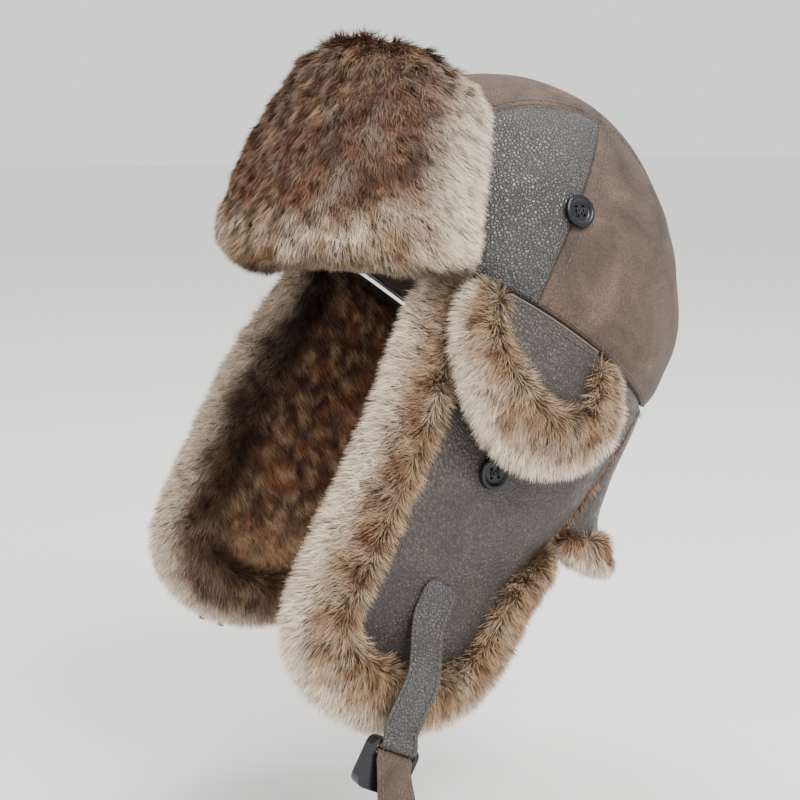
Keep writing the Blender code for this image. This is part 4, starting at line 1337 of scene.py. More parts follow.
def inset_path(piece, rows, grid_point, side=1, steps=60):
    """A row of stitches beside an edge of a sheet: rows is a function from 0 to 1 to shares on its grid."""
    points = [grid_point(*rows(k / steps)) for k in range(steps + 1)]
    return laid_on([(side * p[0], p[1], p[2]) for p in points], piece)


# ---------------------------------------------------------------- crown


def grid_of(point, across, down):
    """A grid of points: rows go down, columns across."""
    return np.array([[tuple(point(c, r)) for c in across] for r in down])


def crown_panels():
    """The centre strip and the four side panels, each a swollen sheet that dips into its seams."""
    values = settings("leather")
    strip = grid_of(lambda c, r: strip_point(r, 2 * c - 1), shares(26, 0.03), shares(80, 0.006))
    made = {
        "crown_center_strip": sheet_shell(
            "center_strip", strip, from_origin, LEATHER, brushed_leather(), 1, values.puff, 0.0006, 3
        )
    }
    for rear, place, finish in ((False, "front", glossy_leather()), (True, "rear", brushed_leather())):
        grid = grid_of(lambda c, r: side_point(rear, c, r), shares(40, 0.02), shares(34, 0.02))
        for side, word in ((1, "left"), (-1, "right")):
            swell, dents = values.puff, 0.0022 if place == "front" else 0.0012
            piece = sheet_shell(
                f"{place}_panel_{word}", grid, from_origin, LEATHER, finish, side, swell, dents, side + 5
            )
            made[f"crown_{place}_panel_{word}"] = piece
    return made


def crown_rows(panels):
    """The stitch rows beside every seam of the crown, and along its lower edge."""
    inset = settings("leather").stitch_inset
    rows = []
    strip = panels["crown_center_strip"]
    away = inset / (CROWN_HALF_WIDTH * STRIP_SPREAD)
    for side in (1, -1):
        rows.append(inset_path(strip, lambda s: (s, side * (1 - away)), strip_point, steps=120))
    rows.append(inset_path(strip, lambda s: (0.008, 1.9 * s - 0.95), strip_point))
    rows.append(inset_path(strip, lambda s: (0.992, 1.9 * s - 0.95), strip_point))
    tall = 0.11
    for rear, place in ((False, "front"), (True, "rear")):
        beside_seam = 0.03 if rear else 0.97
        for side, word in ((1, "left"), (-1, "right")):
            panel = panels[f"crown_{place}_panel_{word}"]
            point = lambda s, r: side_point(rear, s, r)
            rows.append(inset_path(panel, lambda s: (s, 1 - inset / tall), point, side))
            rows.append(inset_path(panel, lambda s: (s, inset / tall), point, side))
            rows.append(inset_path(panel, lambda s: (beside_seam, s), point, side))
    return rows


def edge_binding(name, point, start, end, steps, body, closed=False, radius=0.0011, finish=None):
    """A thin rolled binding along a path of points."""
    loops = []
    path = [Vector(point(mix(start, end, k / steps))) for k in range(steps + (0 if closed else 1))]
    for k, place in enumerate(path):
        if closed:
            run = path[(k + 1) % len(path)] - path[k - 1]
        else:
            run = path[min(k + 1, len(path) - 1)] - path[max(k - 1, 0)]
        out = Vector((place.x, place.y, 0)).normalized()
        up = run.cross(out).normalized()
        out = up.cross(run).normalized()
        turns = full_turn(10)
        loops.append([tuple(place + radius * (out * cos(t) + up * sin(t))) for t in turns])
    made = ring_mesh(name, loops, finish) if closed else tube_mesh(name, loops, finish)
    attach(made, body)
    return made


def ring_mesh(name, loops, finish):
    """A closed ring through loops, whose last one joins the first."""
    count, sides = len(loops), len(loops[0])
    verts = [point for loop in loops for point in loop]
    faces = []
    for i in range(count):
        for k in range(sides):
            after, ahead = (k + 1) % sides, (i + 1) % count
            faces.append((i * sides + k, i * sides + after, ahead * sides + after, ahead * sides + k))
    return mesh_of(name, verts, faces, finish, 180)


def build_crown():
    panels = crown_panels()
    for node, piece in panels.items():
        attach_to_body(piece, "crown")
        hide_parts(node)
    stitching("crown_stitching", crown_rows(panels), "crown")


# ---------------------------------------------------------------- lining and sweatband


def dome_rise(angle, rise, depth):
    """A point inside the crown: rise goes from the lower edge up to the top."""
    foot = edge_point(angle).normalized()
    return crown_point(mix(foot, Vector((0, 0, 1)), rise), depth)


def quilt_height(angle, rise):
    """How far a diamond of the quilting swells at a place, from 0 in a seam to 1 in its middle."""
    size = settings("trim").quilt_size
    up = rise * CROWN_HEIGHT * 1.25
    count = max(1, round(2 * pi * (CROWN_HALF_WIDTH + CROWN_HALF_LENGTH) / 2 / size))
    a, b = count * angle / 2, pi * up / size
    return min(abs(sin(a + b)), 1.0) ** 0.6 * min(abs(sin(a - b)), 1.0) ** 0.6


def build_lining():
    """The quilted lining, one closed dome, and the sweatband inside its edge."""
    depth = LEATHER + GAP + WADDING + GAP
    puff = settings("trim").quilt_puff
    angles = full_turn(150)
    rises = [0.999 * (k / 54) for k in range(55)]
    inner, outer = [], []
    for rise in rises:
        flattened = 1 - rise**6
        swell = [puff * quilt_height(a, rise) * flattened for a in angles]
        inner.append([tuple(dome_rise(a, rise, depth + LINING + high)) for a, high in zip(angles, swell)])
        outer.append([tuple(dome_rise(a, rise, depth)) for a in angles])
    lining = shell("quilted_lining", np.array(outer), np.array(inner), quilted_satin(), closed=True)
    close_pole(lining)
    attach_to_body(lining, "crown")
    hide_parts("crown_lining")
    band = sweatband(depth + LINING + 2 * SOFT_GAP)
    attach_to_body(band, "crown")
    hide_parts("sweatband")
    for node in ("crown_wadding", "visor_stiffener"):
        repaint(node, felt())


def close_pole(piece):
    """Closes the small round hole that a dome's last ring leaves."""
    work = bmesh.new()
    work.from_mesh(piece.data)
    bmesh.ops.holes_fill(work, edges=[edge for edge in work.edges if edge.is_boundary], sides=0)
    bmesh.ops.recalc_face_normals(work, faces=work.faces)
    work.to_mesh(piece.data)
    work.free()


def sweatband(depth):
    """A ribbed band round the head opening."""
    angles = full_turn(180)
    front, back = [], []
    for i in range(13):
        rise = i / 12
        swell = 0.0006 * sin(pi * rise) ** 0.5
        line_front, line_back = [], []
        for angle in angles:
            place = wall_point(angle, edge_height(angle) + SEAM_DROP + SWEATBAND_HEIGHT * rise)
            line_front.append(tuple(crown_point(place, depth)))
            line_back.append(tuple(crown_point(place, depth + SWEATBAND + swell)))
        front.append(line_front)
        back.append(line_back)
    return shell("ribbed_sweatband", np.array(front), np.array(back), quilted_satin(), closed=True)


def repaint(node, finish):
    """Gives a solid that stays shown its finish."""
    for slot in frame["nodes"][node].material_slots:
        slot.material = finish


# ---------------------------------------------------------------- visor


def visor_axes(angle, rise):
    """Unit vectors on the visor: out, up, and along the brow towards the left."""
    step = 0.01
    up = (visor_point(angle, rise + step) - visor_point(angle, rise)).normalized()
    along = (visor_point(angle + step, rise) - visor_point(angle - step, rise)).normalized()
    out = up.cross(along).normalized()
    place = visor_point(angle, rise)
    return (out if out.x * place.x + out.y * place.y > 0 else -out), up, along


def visor_outline(angle):
    """The pile's outline in one upright section, from the inside round the top to the roll."""
    full = VISOR_PILE * (1 - VISOR_END_THINNING * abs(angle / VISOR_SPREAD) ** 6)
    outline = []
    for rise in (0.06, 0.25, 0.5, 0.75, 0.97):
        out = visor_axes(angle, rise)[0]
        outline.append(visor_point(angle, rise) + out * (LEATHER + STIFFENER + 2 * GAP))
    out, up, _ = visor_axes(angle, 1.0)
    crest = full - 0.0045
    outline.append(visor_point(angle, 1.0) + up * 0.22 * crest + out * 0.3 * crest)
    for rise in (0.92, 0.75, 0.5, 0.25, 0.10):
        depth = full - mix(0.0085, 0.0035, rise)
        thin = 1 - VISOR_THINNING * rise**1.3
        outline.append(visor_point(angle, rise) + visor_axes(angle, rise)[0] * depth * thin)
    out, up, _ = visor_axes(angle, 0.0)
    arch = 0.0065 * sin(pi * min(abs(angle) / VISOR_SPREAD * 1.05, 1.0))
    foot, depth = visor_point(angle, 0.0) + up * arch, full - 0.0085
    outline.append(foot + out * depth * 0.86 + up * 0.002)
    outline.append(foot + out * depth * 0.62 - up * 0.002)
    outline.append(foot + out * depth * 0.32 - up * 0.001)
    return outline


def visor_skin():
    """The body of the visor's pile, with the place of each point on it."""
    sides, count = 56, 100
    loops, turns = [], []
    for k in range(count + 1):
        share = 2 * k / count - 1
        angle = VISOR_SPREAD * share
        loop = loop_through([tuple(p) for p in visor_outline(angle)], sides)
        middle = loop.mean(axis=0)
        near_end = 1 - (max(abs(share) - 0.96, 0) / 0.04) ** 2 * 0.5
        loops.append(middle + (loop - middle) * near_end)
        turns.append(np.full(sides, share))
    skin = tube_mesh("visor_fur_skin", loops, fur_skin())
    return skin, np.append(np.concatenate(turns), [-1.0, 1.0])


def vectors_of(items, field):
    """A vector field of a mesh's elements as rows of floats."""
    found = np.empty(len(items) * 3, dtype=np.float32)
    items.foreach_get(field, found)
    return found.reshape(-1, 3).astype(float)


def object_points(piece):
    return vectors_of(piece.data.vertices, "co")


def object_normals(piece):
    return vectors_of(piece.data.vertex_normals, "vector")


def visor_tones(points, share, rise):
    """The colours of the visor: dark above, a pale streaked band below, pale ends, and painted shade on the underside
    of its roll.
    """
    fur = settings("fur")
    rough = ripple(points, 0.020, 11) + 0.5 * ripple(points, 0.008, 12)
    tone = tinted(np.tile(np.array(fur.tan), (len(points), 1)), patches(points, 0.013, 1) * 0.75, fur.cream)
    tone = tinted(tone, patches(points, 0.010, 2) * 0.5, fur.grey)
    dark = fade(rise + 0.10 * rough - 0.05 * share, 0.26, 0.46)
    tone = tinted(tone, dark * (0.74 + 0.26 * patches(points, 0.009, 5)), fur.umber)
    tone = tinted(tone, dark * patches(points, 0.008, 6) * 0.6, fur.rust)
    tone = tinted(tone, dark * patches(points, 0.005, 16, 0.05, 0.45) * 0.45, fur.tan)
    rust = fade(rise + 0.08 * rough, 0.20, 0.32) * (1 - fade(rise, 0.42, 0.58)) * patches(points, 0.012, 7)
    tone = tinted(tone, rust * 0.7, fur.rust)
    ends = fade(np.abs(share) + 0.08 * rough, 0.68, 0.95)
    tone = tinted(tone, ends * 0.95, fur.cream)
    # Painted shade: below the fold the roll's underside is tinted dark umber.
    under = fade(-rise + 0.03 * rough, -0.06, 0.02)
    tone = tinted(tone, under * 0.85, fur.umber)
    streaks = fade(rise, 0.04, 0.12) * (1 - fade(rise, 0.28, 0.42)) * patches(points, 0.009, 8, -0.15, 0.25)
    guard = (0.20 + 0.42 * streaks + 0.12 * dark) * (1 - 0.6 * ends)
    return tone, guard


def build_visor():
    skin, share = visor_skin()
    points, normals = object_points(skin), object_normals(skin)
    top = VISOR_TOP - VISOR_END_DROP * np.abs(share) ** 3
    rise = (points[:, 2] - VISOR_FOOT) / (top - VISOR_FOOT)
    out = np.stack([np.sin(share * VISOR_SPREAD), -np.cos(share * VISOR_SPREAD), np.zeros(len(share))], axis=1)
    along = np.stack([np.cos(share * VISOR_SPREAD), np.sin(share * VISOR_SPREAD), np.zeros(len(share))], axis=1)
    facing = np.sum(normals * out, axis=1)
    fall = mix(0.25, 0.95, fade(rise, 0.0, 0.22))
    comb = np.array([0, 0, -1.0]) * fall[:, None] + out * (0.5 * (1 - fade(rise, 0.0, 0.2)) + 0.1)[:, None]
    comb = comb + along * (0.25 + 0.9 * np.sign(share) * np.abs(share) ** 4)[:, None]
    inside = fade(-facing, 0.25, 0.6) * fade(rise, 0.02, 0.10)
    grow = 1 - inside
    tone, guard = visor_tones(points, share, rise)
    coloured(skin, tone, guard, comb, grow)
    add_coat(skin, "visor_fur", "visor", 1, dense=1.15, lean=0.95)
    back = grid_of(
        lambda c, r: visor_point(VISOR_SPREAD * (2 * c - 1), r), shares(60, 0.02), shares(20, 0.03)
    )
    out_grid = grid_normals(back, from_axis)
    front = back + out_grid * LEATHER
    distance = edge_distance(back)
    inner = rolled(back, -out_grid, distance, 0.0006)
    leather = shell("visor_back", front, inner, flap_leather(), distance)
    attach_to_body(leather, "visor")
    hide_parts("visor_leather")
    rows = [
        inset_path(leather, lambda s: (VISOR_SPREAD * 0.97 * (2 * s - 1), 0.97), visor_point, steps=90),
        inset_path(leather, lambda s: (VISOR_SPREAD * 0.97, 0.03 + 0.94 * s), visor_point),
        inset_path(leather, lambda s: (-VISOR_SPREAD * 0.97, 0.03 + 0.94 * s), visor_point),
    ]
    stitching("visor_stitching", rows, "visor")


# ---------------------------------------------------------------- fur edges


def width_at(widths, share):
    """A width that goes from the front one over the bottom one to the rear one."""
    front, bottom, rear = widths
    return mix(front, bottom, smooth(2 * share)) if share < 0.5 else mix(bottom, rear, smooth(2 * share - 1))


def border_outline(width, proud, under):
    """A fur edge's outline in its own section: (away from the sheet, outwards)."""
    return (
        (SOFT_GAP, -under),
        (0.5 * width, -under),
        (0.85 * width, -0.7 * under),
        (width, 0.1 * (proud - under)),
        (0.88 * width, 0.75 * proud),
        (0.5 * width, 1.2 * proud),
        (SOFT_GAP, proud),
    )


def border_skin(name, path, widths, heights, side, sink=0.0062, sides=26):
    """The body of a fur edge along a path of (point, out, away), with heights of (proud, under)."""
    loops, flat, along = [], [], []
    count = len(path)
    for k, ((place, out, away), (proud, under)) in enumerate(zip(path, heights)):
        share = k / (count - 1)
        end = min(share, 1 - share) * count / 6
        small = sqrt(max(1 - (1 - min(end, 1.0)) ** 2, 0.06))
        width = max(width_at(widths, share) - sink, 0.004)
        outline = border_outline(width, max(proud - sink * 0.75, 0.001), max(under - sink * 0.55, 0.002))
        loop = loop_through(outline, sides)
        middle = loop.mean(axis=0)
        loop = middle + (loop - middle) * small
        loops.append([tuple(place + away * e + out * n) for e, n in loop])
        flat.append(loop / width)
        along.append(np.full(sides, share))
    skin = tube_mesh(name, mirrored_points(np.array(loops), side), fur_skin())
    ends = [flat[0].mean(axis=0), flat[-1].mean(axis=0)]
    flat = np.concatenate(flat + [np.array(ends)])
    along = np.append(np.concatenate(along), [0.0, 1.0])
    return skin, flat, along


def away_from(path, along, side):
    """The away vectors of a path at each of its shares."""
    index = np.clip(np.round(along * (len(path) - 1)).astype(int), 0, len(path) - 1)
    away = np.array([tuple(point[2]) for point in path])[index]
    return mirrored_points(away, side)


def border_tones(points, flat, seed):
    """The colours of a fur edge: warm by the leather, pale at its rim, and mottled painted shade underneath."""
    fur = settings("fur")
    rough = ripple(points, 0.012, seed) + 0.5 * ripple(points, 0.005, seed + 1)
    outer = fade(flat[:, 0] + 0.15 * rough, 0.25, 0.75)
    pale = patches(points, 0.009, seed + 2) * (0.10 + 0.50 * outer)
    tone = tinted(np.tile(np.array(fur.tan), (len(points), 1)), pale, fur.cream)
    tone = tinted(tone, patches(points, 0.013, seed + 3, 0.0, 0.35) * 0.7, fur.grey)
    rim = fade(flat[:, 0] + 0.16 * rough, 0.55, 0.92)
    tone = tinted(tone, rim * 0.9, fur.cream)
    middle = 1 - np.abs(flat[:, 0] - 0.35) / 0.45
    rust = patches(points, 0.008, seed + 4, -0.1, 0.3) * np.clip(middle, 0, 1)
    tone = tinted(tone, rust * 0.75, fur.rust)
    # Painted shade: the underside, towards the sheet, is tinted umber and carries more dark guard strands, less so at
    # the rim.
    under = fade(-flat[:, 1] + 0.08 * rough, 0.02, 0.28)
    tone = tinted(tone, under * (1 - 0.8 * rim) * (0.55 + 0.35 * patches(points, 0.012, seed + 5)), fur.umber)
    guard = (0.18 + 0.30 * patches(points, 0.008, seed + 6, 0.0, 0.35) + 0.15 * under) * (1 - 0.6 * rim)
    return tone, guard


def fur_edge(name, path, widths, heights, side, node, body, seed, **how):
    """A whole fur edge: its skin, its colours and its strands."""
    skin, flat, along = border_skin(name + "_skin", path, widths, heights, side)
    points = object_points(skin)
    away = away_from(path, along, side)
    down = np.array([0, 0, -1.0])
    over = fade(flat[:, 1], -0.05, 0.12)
    outward = 1.35 * fade(flat[:, 0], 0.0, 0.35) - 0.35
    comb = away * (outward * (0.55 + 0.45 * over))[:, None] + down * 0.40
    grow = fade(flat[:, 0], -0.03, 0.10)
    tone, guard = border_tones(points, flat, seed)
    coloured(skin, tone, guard, comb, grow)
    return add_coat(skin, node, body, seed, **how)


def spot_path(edge, surface, middle):
    """(point, out, away) along an edge of (place, drop) spots on a flap-like surface."""
    places = [surface(*spot) for spot in edge]
    path = []
    for k, spot in enumerate(edge):
        run = places[min(k + 1, len(places) - 1)] - places[max(k - 1, 0)]
        out = flap_axes(*spot)[2]
        away = run.cross(out).normalized()
        away = away if away.dot(places[k] - middle) > 0 else -away
        path.append((places[k], out, away))
    return smoothed(path)


def smoothed(path):
    """The path with its directions evened out round its corners."""
    away = [point[2] for point in path]
    for _ in range(6):
        ahead, behind = away[1:] + away[-1:], away[:1] + away[:-1]
        away = [(a + b + c).normalized() for a, b, c in zip(behind, away, ahead)]
    return [(place, out, turn) for (place, out, _), turn in zip(path, away)]


def edge_spots(front, bottom, rear, starts, count):
    """Spots down the front edge, along the bottom and up the rear edge, evenly spaced."""
    spots = [front(mix(starts[0], 1, k / 60)) for k in range(60)]
    spots += [bottom(k / 60) for k in range(60)]
    spots += [rear(mix(1, starts[1], k / 60)) for k in range(61)]
    steps = [0.0]
    for a, b in zip(spots, spots[1:]):
        steps.append(steps[-1] + sqrt((b[0] - a[0]) ** 2 + (b[1] - a[1]) ** 2))
    wanted = np.linspace(0, steps[-1], count)
    places = np.interp(wanted, steps, [spot[0] for spot in spots])
    drops = np.interp(wanted, steps, [spot[1] for spot in spots])
    return list(zip(places.tolist(), drops.tolist()))


# ---------------------------------------------------------------- ear flaps


def side_name(side):
    return "left" if side > 0 else "right"


def flap_grid(spot, surface, columns, rows):
    """A grid over a flap-like sheet: surface gives the point at a (place, drop) spot."""
    return grid_of(lambda c, r: surface(*spot(c, r)), shares(columns, 0.02), shares(rows, 0.02))


def inner_skin(name, grid, side, depth, thick):
    """A thin padded body under a sheet's inner face, with an even gap to it."""
    rows, columns = grid.shape[:2]
    normals = grid_normals(grid, from_axis)
    distance = edge_distance(grid)
    height = thick * np.sqrt(np.clip(distance / 0.008, 0.05, 1))
    front = mirrored_points(grid - normals * depth, side)
    back = mirrored_points(grid - normals * (depth + height[..., None]), side)
    skin = shell(name, front, back, fur_skin())
    facing = np.concatenate([np.zeros(rows * columns), np.ones(rows * columns)])
    return skin, facing


def lining_tones(points, seed, pale_low):
    """The lining's colours: dark and mottled, with pale tips towards one end."""
    fur = settings("fur")
    tone = tinted(np.tile(np.array(fur.umber), (len(points), 1)), patches(points, 0.012, seed) * 0.8, fur.rust)
    tone = tinted(tone, patches(points, 0.007, seed + 2, 0.0, 0.4) * 0.6, fur.tan)
    tone = tinted(tone, pale_low * 0.8, fur.tan)
    return tone * 1.5, 0.10 + 0.15 * patches(points, 0.008, seed + 3)


def fur_lining(name, grid, side, depth, node, body, seed, thick=0.0045, **how):
    """The fur over a sheet's inner face, combed down."""
    skin, facing = inner_skin(name + "_skin", grid, side, depth, thick)
    points = object_points(skin)
    comb = np.tile(np.array([0, 0.15, -0.8]), (len(points), 1))
    drop = (points[:, 2].max() - points[:, 2]) / np.ptp(points[:, 2])
    tone, guard = lining_tones(points, seed, fade(drop, 0.7, 1.0) * 0.6)
    coloured(skin, tone, guard, comb, facing)
    return add_coat(skin, node, body, seed, **how)


def flap_edge_path(count=130):
    spots = edge_spots(flap_front, flap_bottom, flap_rear, (0.03, 0.5), count)
    return spots, spot_path(spots, flap_point, flap_point(0.0, 0.09))


def border_proud(drop):
    return mix(GAP, BORDER_OUT, smooth((drop - BORDER_START) / BORDER_RISE))


def build_flap(side):
    word = side_name(side)
    body = "ear_flap_" + word
    grid = flap_grid(flap_spot, flap_point, 46, 60)
    leather = sheet_shell(f"flap_leather_{word}", grid, from_axis, LEATHER, flap_leather(), side, 0.0008, 0.0014, 21)
    attach(leather, body)
    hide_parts("ear_flap_leather_" + word)
    lining = flap_grid(lambda c, r: flap_spot(mix(0.03, 0.97, c), mix(0.03, 0.97, r)), flap_point, 40, 50)
    fur_lining(
        f"flap_lining_{word}", lining, side, LEATHER + GAP, "ear_flap_fur_lining_" + word, body, 30, pile=0.75, lean=1.5
    )
    spots, path = flap_edge_path()
    heights = [(border_proud(drop), LEATHER + FLAP_PILE) for _, drop in spots]
    fur_edge(
        f"flap_border_{word}", path, BORDER_WIDTHS, heights, side, "ear_flap_fur_border_" + word, body, 50 + side
    )
    rows = [
        inset_path(leather, lambda s: flap_spot(0.030, 0.02 + 0.96 * s), flap_point, side, 90),
        inset_path(leather, lambda s: flap_spot(0.970, 0.02 + 0.96 * s), flap_point, side, 90),
        inset_path(leather, lambda s: flap_spot(0.03 + 0.94 * s, 0.975), flap_point, side, 90),
    ]
    stitching(f"flap_stitching_{word}", rows, body)


# ---------------------------------------------------------------- ear covers


def cover_surface(place, drop):
    return lifted(place, drop, cover_lift(drop))


def cover_edge_path(count=90):
    spots = edge_spots(cover_front, cover_bottom, cover_rear, (0.1, 0.15), count)
    return spots, spot_path(spots, cover_surface, cover_surface(-0.02, 0.015))


def build_cover(side):
    word = side_name(side)
    body = "ear_cover_" + word
    grid = flap_grid(cover_spot, cover_surface, 40, 36)
    leather = sheet_shell(f"cover_leather_{word}", grid, from_axis, LEATHER, flap_leather(), side, 0.0010, 0.0006, 61)
    attach(leather, body)
    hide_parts("ear_cover_leather_" + word)
    lining = flap_grid(lambda c, r: cover_spot(mix(0.05, 0.95, c), mix(0.05, 0.95, r)), cover_surface, 24, 20)
    fur_lining(
        f"cover_lining_{word}",
        lining,
        side,
        LEATHER + GAP,
        "ear_cover_fur_lining_" + word,
        body,
        70,
        thick=0.002,
        pile=0.35,
        dense=0.5,
    )
    spots, path = cover_edge_path()
    heights = [(COVER_PROUD, 0.7 * cover_lift(drop)) for _, drop in spots]
    fur_edge(
        f"cover_border_{word}",
        path,
        COVER_BORDERS,
        heights,
        side,
        "ear_cover_fur_border_" + word,
        body,
        80 + side,
        pile=0.95,
    )
    binding = edge_binding(
        f"cover_binding_{word}",
        lambda s: mirror_of(cover_surface(*cover_spot(0.02 + 0.96 * s, 0.012)), side),
        0,
        1,
        60,
        body,
        False,
        0.0006,
        worn_edge(),
    )
    rows = [inset_path(leather, lambda s: cover_spot(0.04 + 0.92 * s, 0.11), cover_surface, side, 60)]
    rows.append(inset_path(leather, lambda s: cover_spot(0.955, 0.06 + 0.8 * s), cover_surface, side, 60))
    stitching(f"cover_stitching_{word}", rows, body)
    repaint("ear_cover_loop_" + word, elastic_cord())


def mirror_of(point, side):
    return Vector((side * point.x, point.y, point.z))


# ---------------------------------------------------------------- neck curtain


def build_curtain():
    grid = grid_of(curtain_point, shares(70, 0.01), shares(34, 0.03))
    leather = sheet_shell("curtain_leather", grid, from_axis, LEATHER, flap_leather(), 1, 0.0008, 0.0012, 91)
    attach(leather, "neck_curtain")
    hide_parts("neck_curtain_leather")
    inside = grid_of(
        lambda c, r: curtain_point(mix(-0.012, 1.012, c), mix(0.04, 0.96, r)), shares(60, 0.01), shares(26, 0.03)
    )
    fur_lining(
        "curtain_lining", inside, 1, LEATHER + GAP, "neck_curtain_fur_lining", "neck_curtain", 95, thick=0.004, pile=0.7
    )
    path = []
    count = 110
    places = [curtain_point(k / count, 1.0) for k in range(count + 1)]
    above = [curtain_point(k / count, 0.96) for k in range(count + 1)]
    for k, place in enumerate(places):
        run = places[min(k + 1, count)] - places[max(k - 1, 0)]
        away = (place - above[k]).normalized()
        out = run.cross(away).normalized()
        out = out if out.x * place.x + out.y * place.y > 0 else -out
        path.append((place, out, away))
    path = smoothed(path)[2:-2]
    heights = [(HEM_PROUD, LEATHER + 0.010)] * len(path)
    fur_edge(
        "curtain_hem", path, (HEM_WIDTH,) * 3, heights, 1, "neck_curtain_fur_hem", "neck_curtain", 98, pile=0.85
    )
    rows = [inset_path(leather, lambda s: (0.01 + 0.98 * s, 0.955), curtain_point, steps=120)]
    stitching("curtain_stitching", rows, "neck_curtain")


# ---------------------------------------------------------------- buttons


def turned(profile, sides=48):
    """Rings of points from a profile of (radius, height)."""
    rings = []
    for radius, height in profile:
        turns = full_turn(sides)
        rings.append([(radius * cos(t), radius * sin(t), height) for t in turns])
    return rings


def button_profile():
    """Half of a four-hole button's section, from the middle of its face over the rim to the back."""
    r, t = BUTTON_RADIUS, BUTTON_THICK
    return (
        (0.30 * r, 0.62 * t),
        (0.55 * r, 0.62 * t),
        (0.62 * r, 0.66 * t),
        (0.70 * r, 0.88 * t),
        (0.78 * r, 0.98 * t),
        (0.86 * r, t),
        (0.93 * r, 0.94 * t),
        (0.98 * r, 0.74 * t),
        (r, 0.45 * t),
        (0.96 * r, 0.16 * t),
        (0.86 * r, 0.0),
        (0.40 * r, 0.0),
    )


def build_button(name, node, body):
    """A four-hole button with its sewing thread, in the place of the plain one."""
    solid = frame["nodes"][node]
    matrix = button_frame(solid)
    button = mesh_of(name, *closed_rings(turned(button_profile())), polished_plastic(), 60)
    cut_button_holes(button)
    button.data.transform(matrix)
    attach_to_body(button, body)
    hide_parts(node)
    stitches = button_thread(name + "_thread", matrix)
    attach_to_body(stitches, body)


def button_frame(solid):
    """The matrix that lays a button made at the origin over a flat round solid."""
    corners = np.array([tuple(solid.matrix_world @ v.co) for v in solid.data.vertices])
    middle = corners.mean(axis=0)
    out = np.linalg.eigh(np.cov((corners - middle).T))[1][:, 0]
    out = out if np.dot(out, [middle[0], middle[1], 0]) > 0 else -out
    heights = (corners - middle) @ out
    base = Vector(middle) + Vector(out) * float(heights.min())
    return Matrix.Translation(base) @ Vector(out).to_track_quat("Z", "Y").to_matrix().to_4x4()


def closed_rings(rings):
    """Verts and faces of a turned solid, whose first and last rings are filled."""
    sides = len(rings[0])
    verts = [point for ring in rings for point in ring]
    faces = []
    for i in range(len(rings) - 1):
        for k in range(sides):
            a, b = i * sides + k, i * sides + (k + 1) % sides
            faces.append((a, b, b + sides, a + sides))
    faces.append(tuple(range(sides))[::-1])
    faces.append(tuple(range(len(verts) - sides, len(verts))))
    return verts, faces


def hole_places():
    return [(x * 0.30 * BUTTON_RADIUS * 0.8, y * 0.30 * BUTTON_RADIUS * 0.8) for x in (-1, 1) for y in (-1, 1)]


def cut_button_holes(button):
    """Four holes through the button."""
    work = bmesh.new()
    for x, y in hole_places():
        bmesh.ops.create_cone(
            work,
            cap_ends=True,
            segments=16,
            radius1=0.00095,
            radius2=0.00095,
            depth=BUTTON_THICK * 3,
            matrix=Matrix.Translation((x, y, BUTTON_THICK / 2)),
        )
    data = bpy.data.meshes.new("button_holes")
    work.to_mesh(data)
    work.free()
    cutter = new_object("button_holes", data)
    cut = button.modifiers.new("holes", "BOOLEAN")
    cut.operation = "DIFFERENCE"
    cut.solver = "EXACT"
    cut.object = cutter
    bpy.context.view_layer.update()
    graph = bpy.context.evaluated_depsgraph_get()
    found = bpy.data.meshes.new_from_object(button.evaluated_get(graph))
    button.modifiers.clear()
    button.data = found
    found.shade_smooth()
    found.set_sharp_from_angle(angle=radians(35))
    bpy.data.objects.remove(cutter)


def button_thread(name, matrix):
    """Two crossing bundles of thread from hole to hole."""
    places = hole_places()
    verts, faces = [], []
    for first, last in ((0, 3), (1, 2), (0, 1), (2, 3)):
        start = Vector((*places[first], BUTTON_THICK * 0.30))
        end = Vector((*places[last], BUTTON_THICK * 0.30))
        loops = []
        across = (end - start).cross(Vector((0, 0, 1))).normalized()
        for k in range(13):
            share = k / 12
            rise = min(1.0, 5 * share, 5 * (1 - share))
            height = BUTTON_THICK * (0.62 - 0.30) * rise + 0.0005 * sin(pi * share)
            place = mix(start, end, share) + Vector((0, 0, height))
            turns = full_turn(8)
            loops.append([place + 0.00042 * (across * cos(t) + Vector((0, 0, 1)) * sin(t)) for t in turns])
        more_verts, more_faces = closed_rings(loops)
        base = len(verts)
        verts += more_verts
        faces += [tuple(base + index for index in face) for face in more_faces]
    made = mesh_of(name, verts, faces, button_cord(), 180)
    made.data.transform(matrix)
    return made


# ---------------------------------------------------------------- straps and buckle


def ribbon(name, path, width, thick, finish, ends=0.0):
    """A leather ribbon with rounded edges along a path of (middle, across, out)."""
    corner = min(thick * 0.45, 0.0009)
    half, high = width / 2, thick / 2
    section = []
    for x_sign, y_sign, start in ((1, 1, 0), (-1, 1, 1), (-1, -1, 2), (1, -1, 3)):
        for k in range(4):
            turn = pi / 2 * (start + k / 3)
            middle = x_sign * (half - corner), y_sign * (high - corner)
            section.append((middle[0] + corner * cos(turn), middle[1] + corner * sin(turn)))
    section = ribbon_section(section, half)
    loops, run, total = [], [], len(path)
    for k, (place, across, out) in enumerate(path):
        narrow = 1.0
        if ends:
            from_end = min(k, total - 1 - k) / (total - 1)
            narrow = min(1.0, ends + (1 - ends) * sqrt(max(1 - (1 - min(from_end / 0.08, 1)) ** 2, 0)))
        loops.append([tuple(place + across * x * narrow + out * y) for x, y in section])
        run.append(np.array([half - abs(x) for x, _ in section]))
    made = tube_mesh(name, loops, finish)
    distance = np.append(np.concatenate(run), [0.0, 0.0])
    set_attribute(made.data, "edge_distance", np.maximum(distance, 0))
    return made


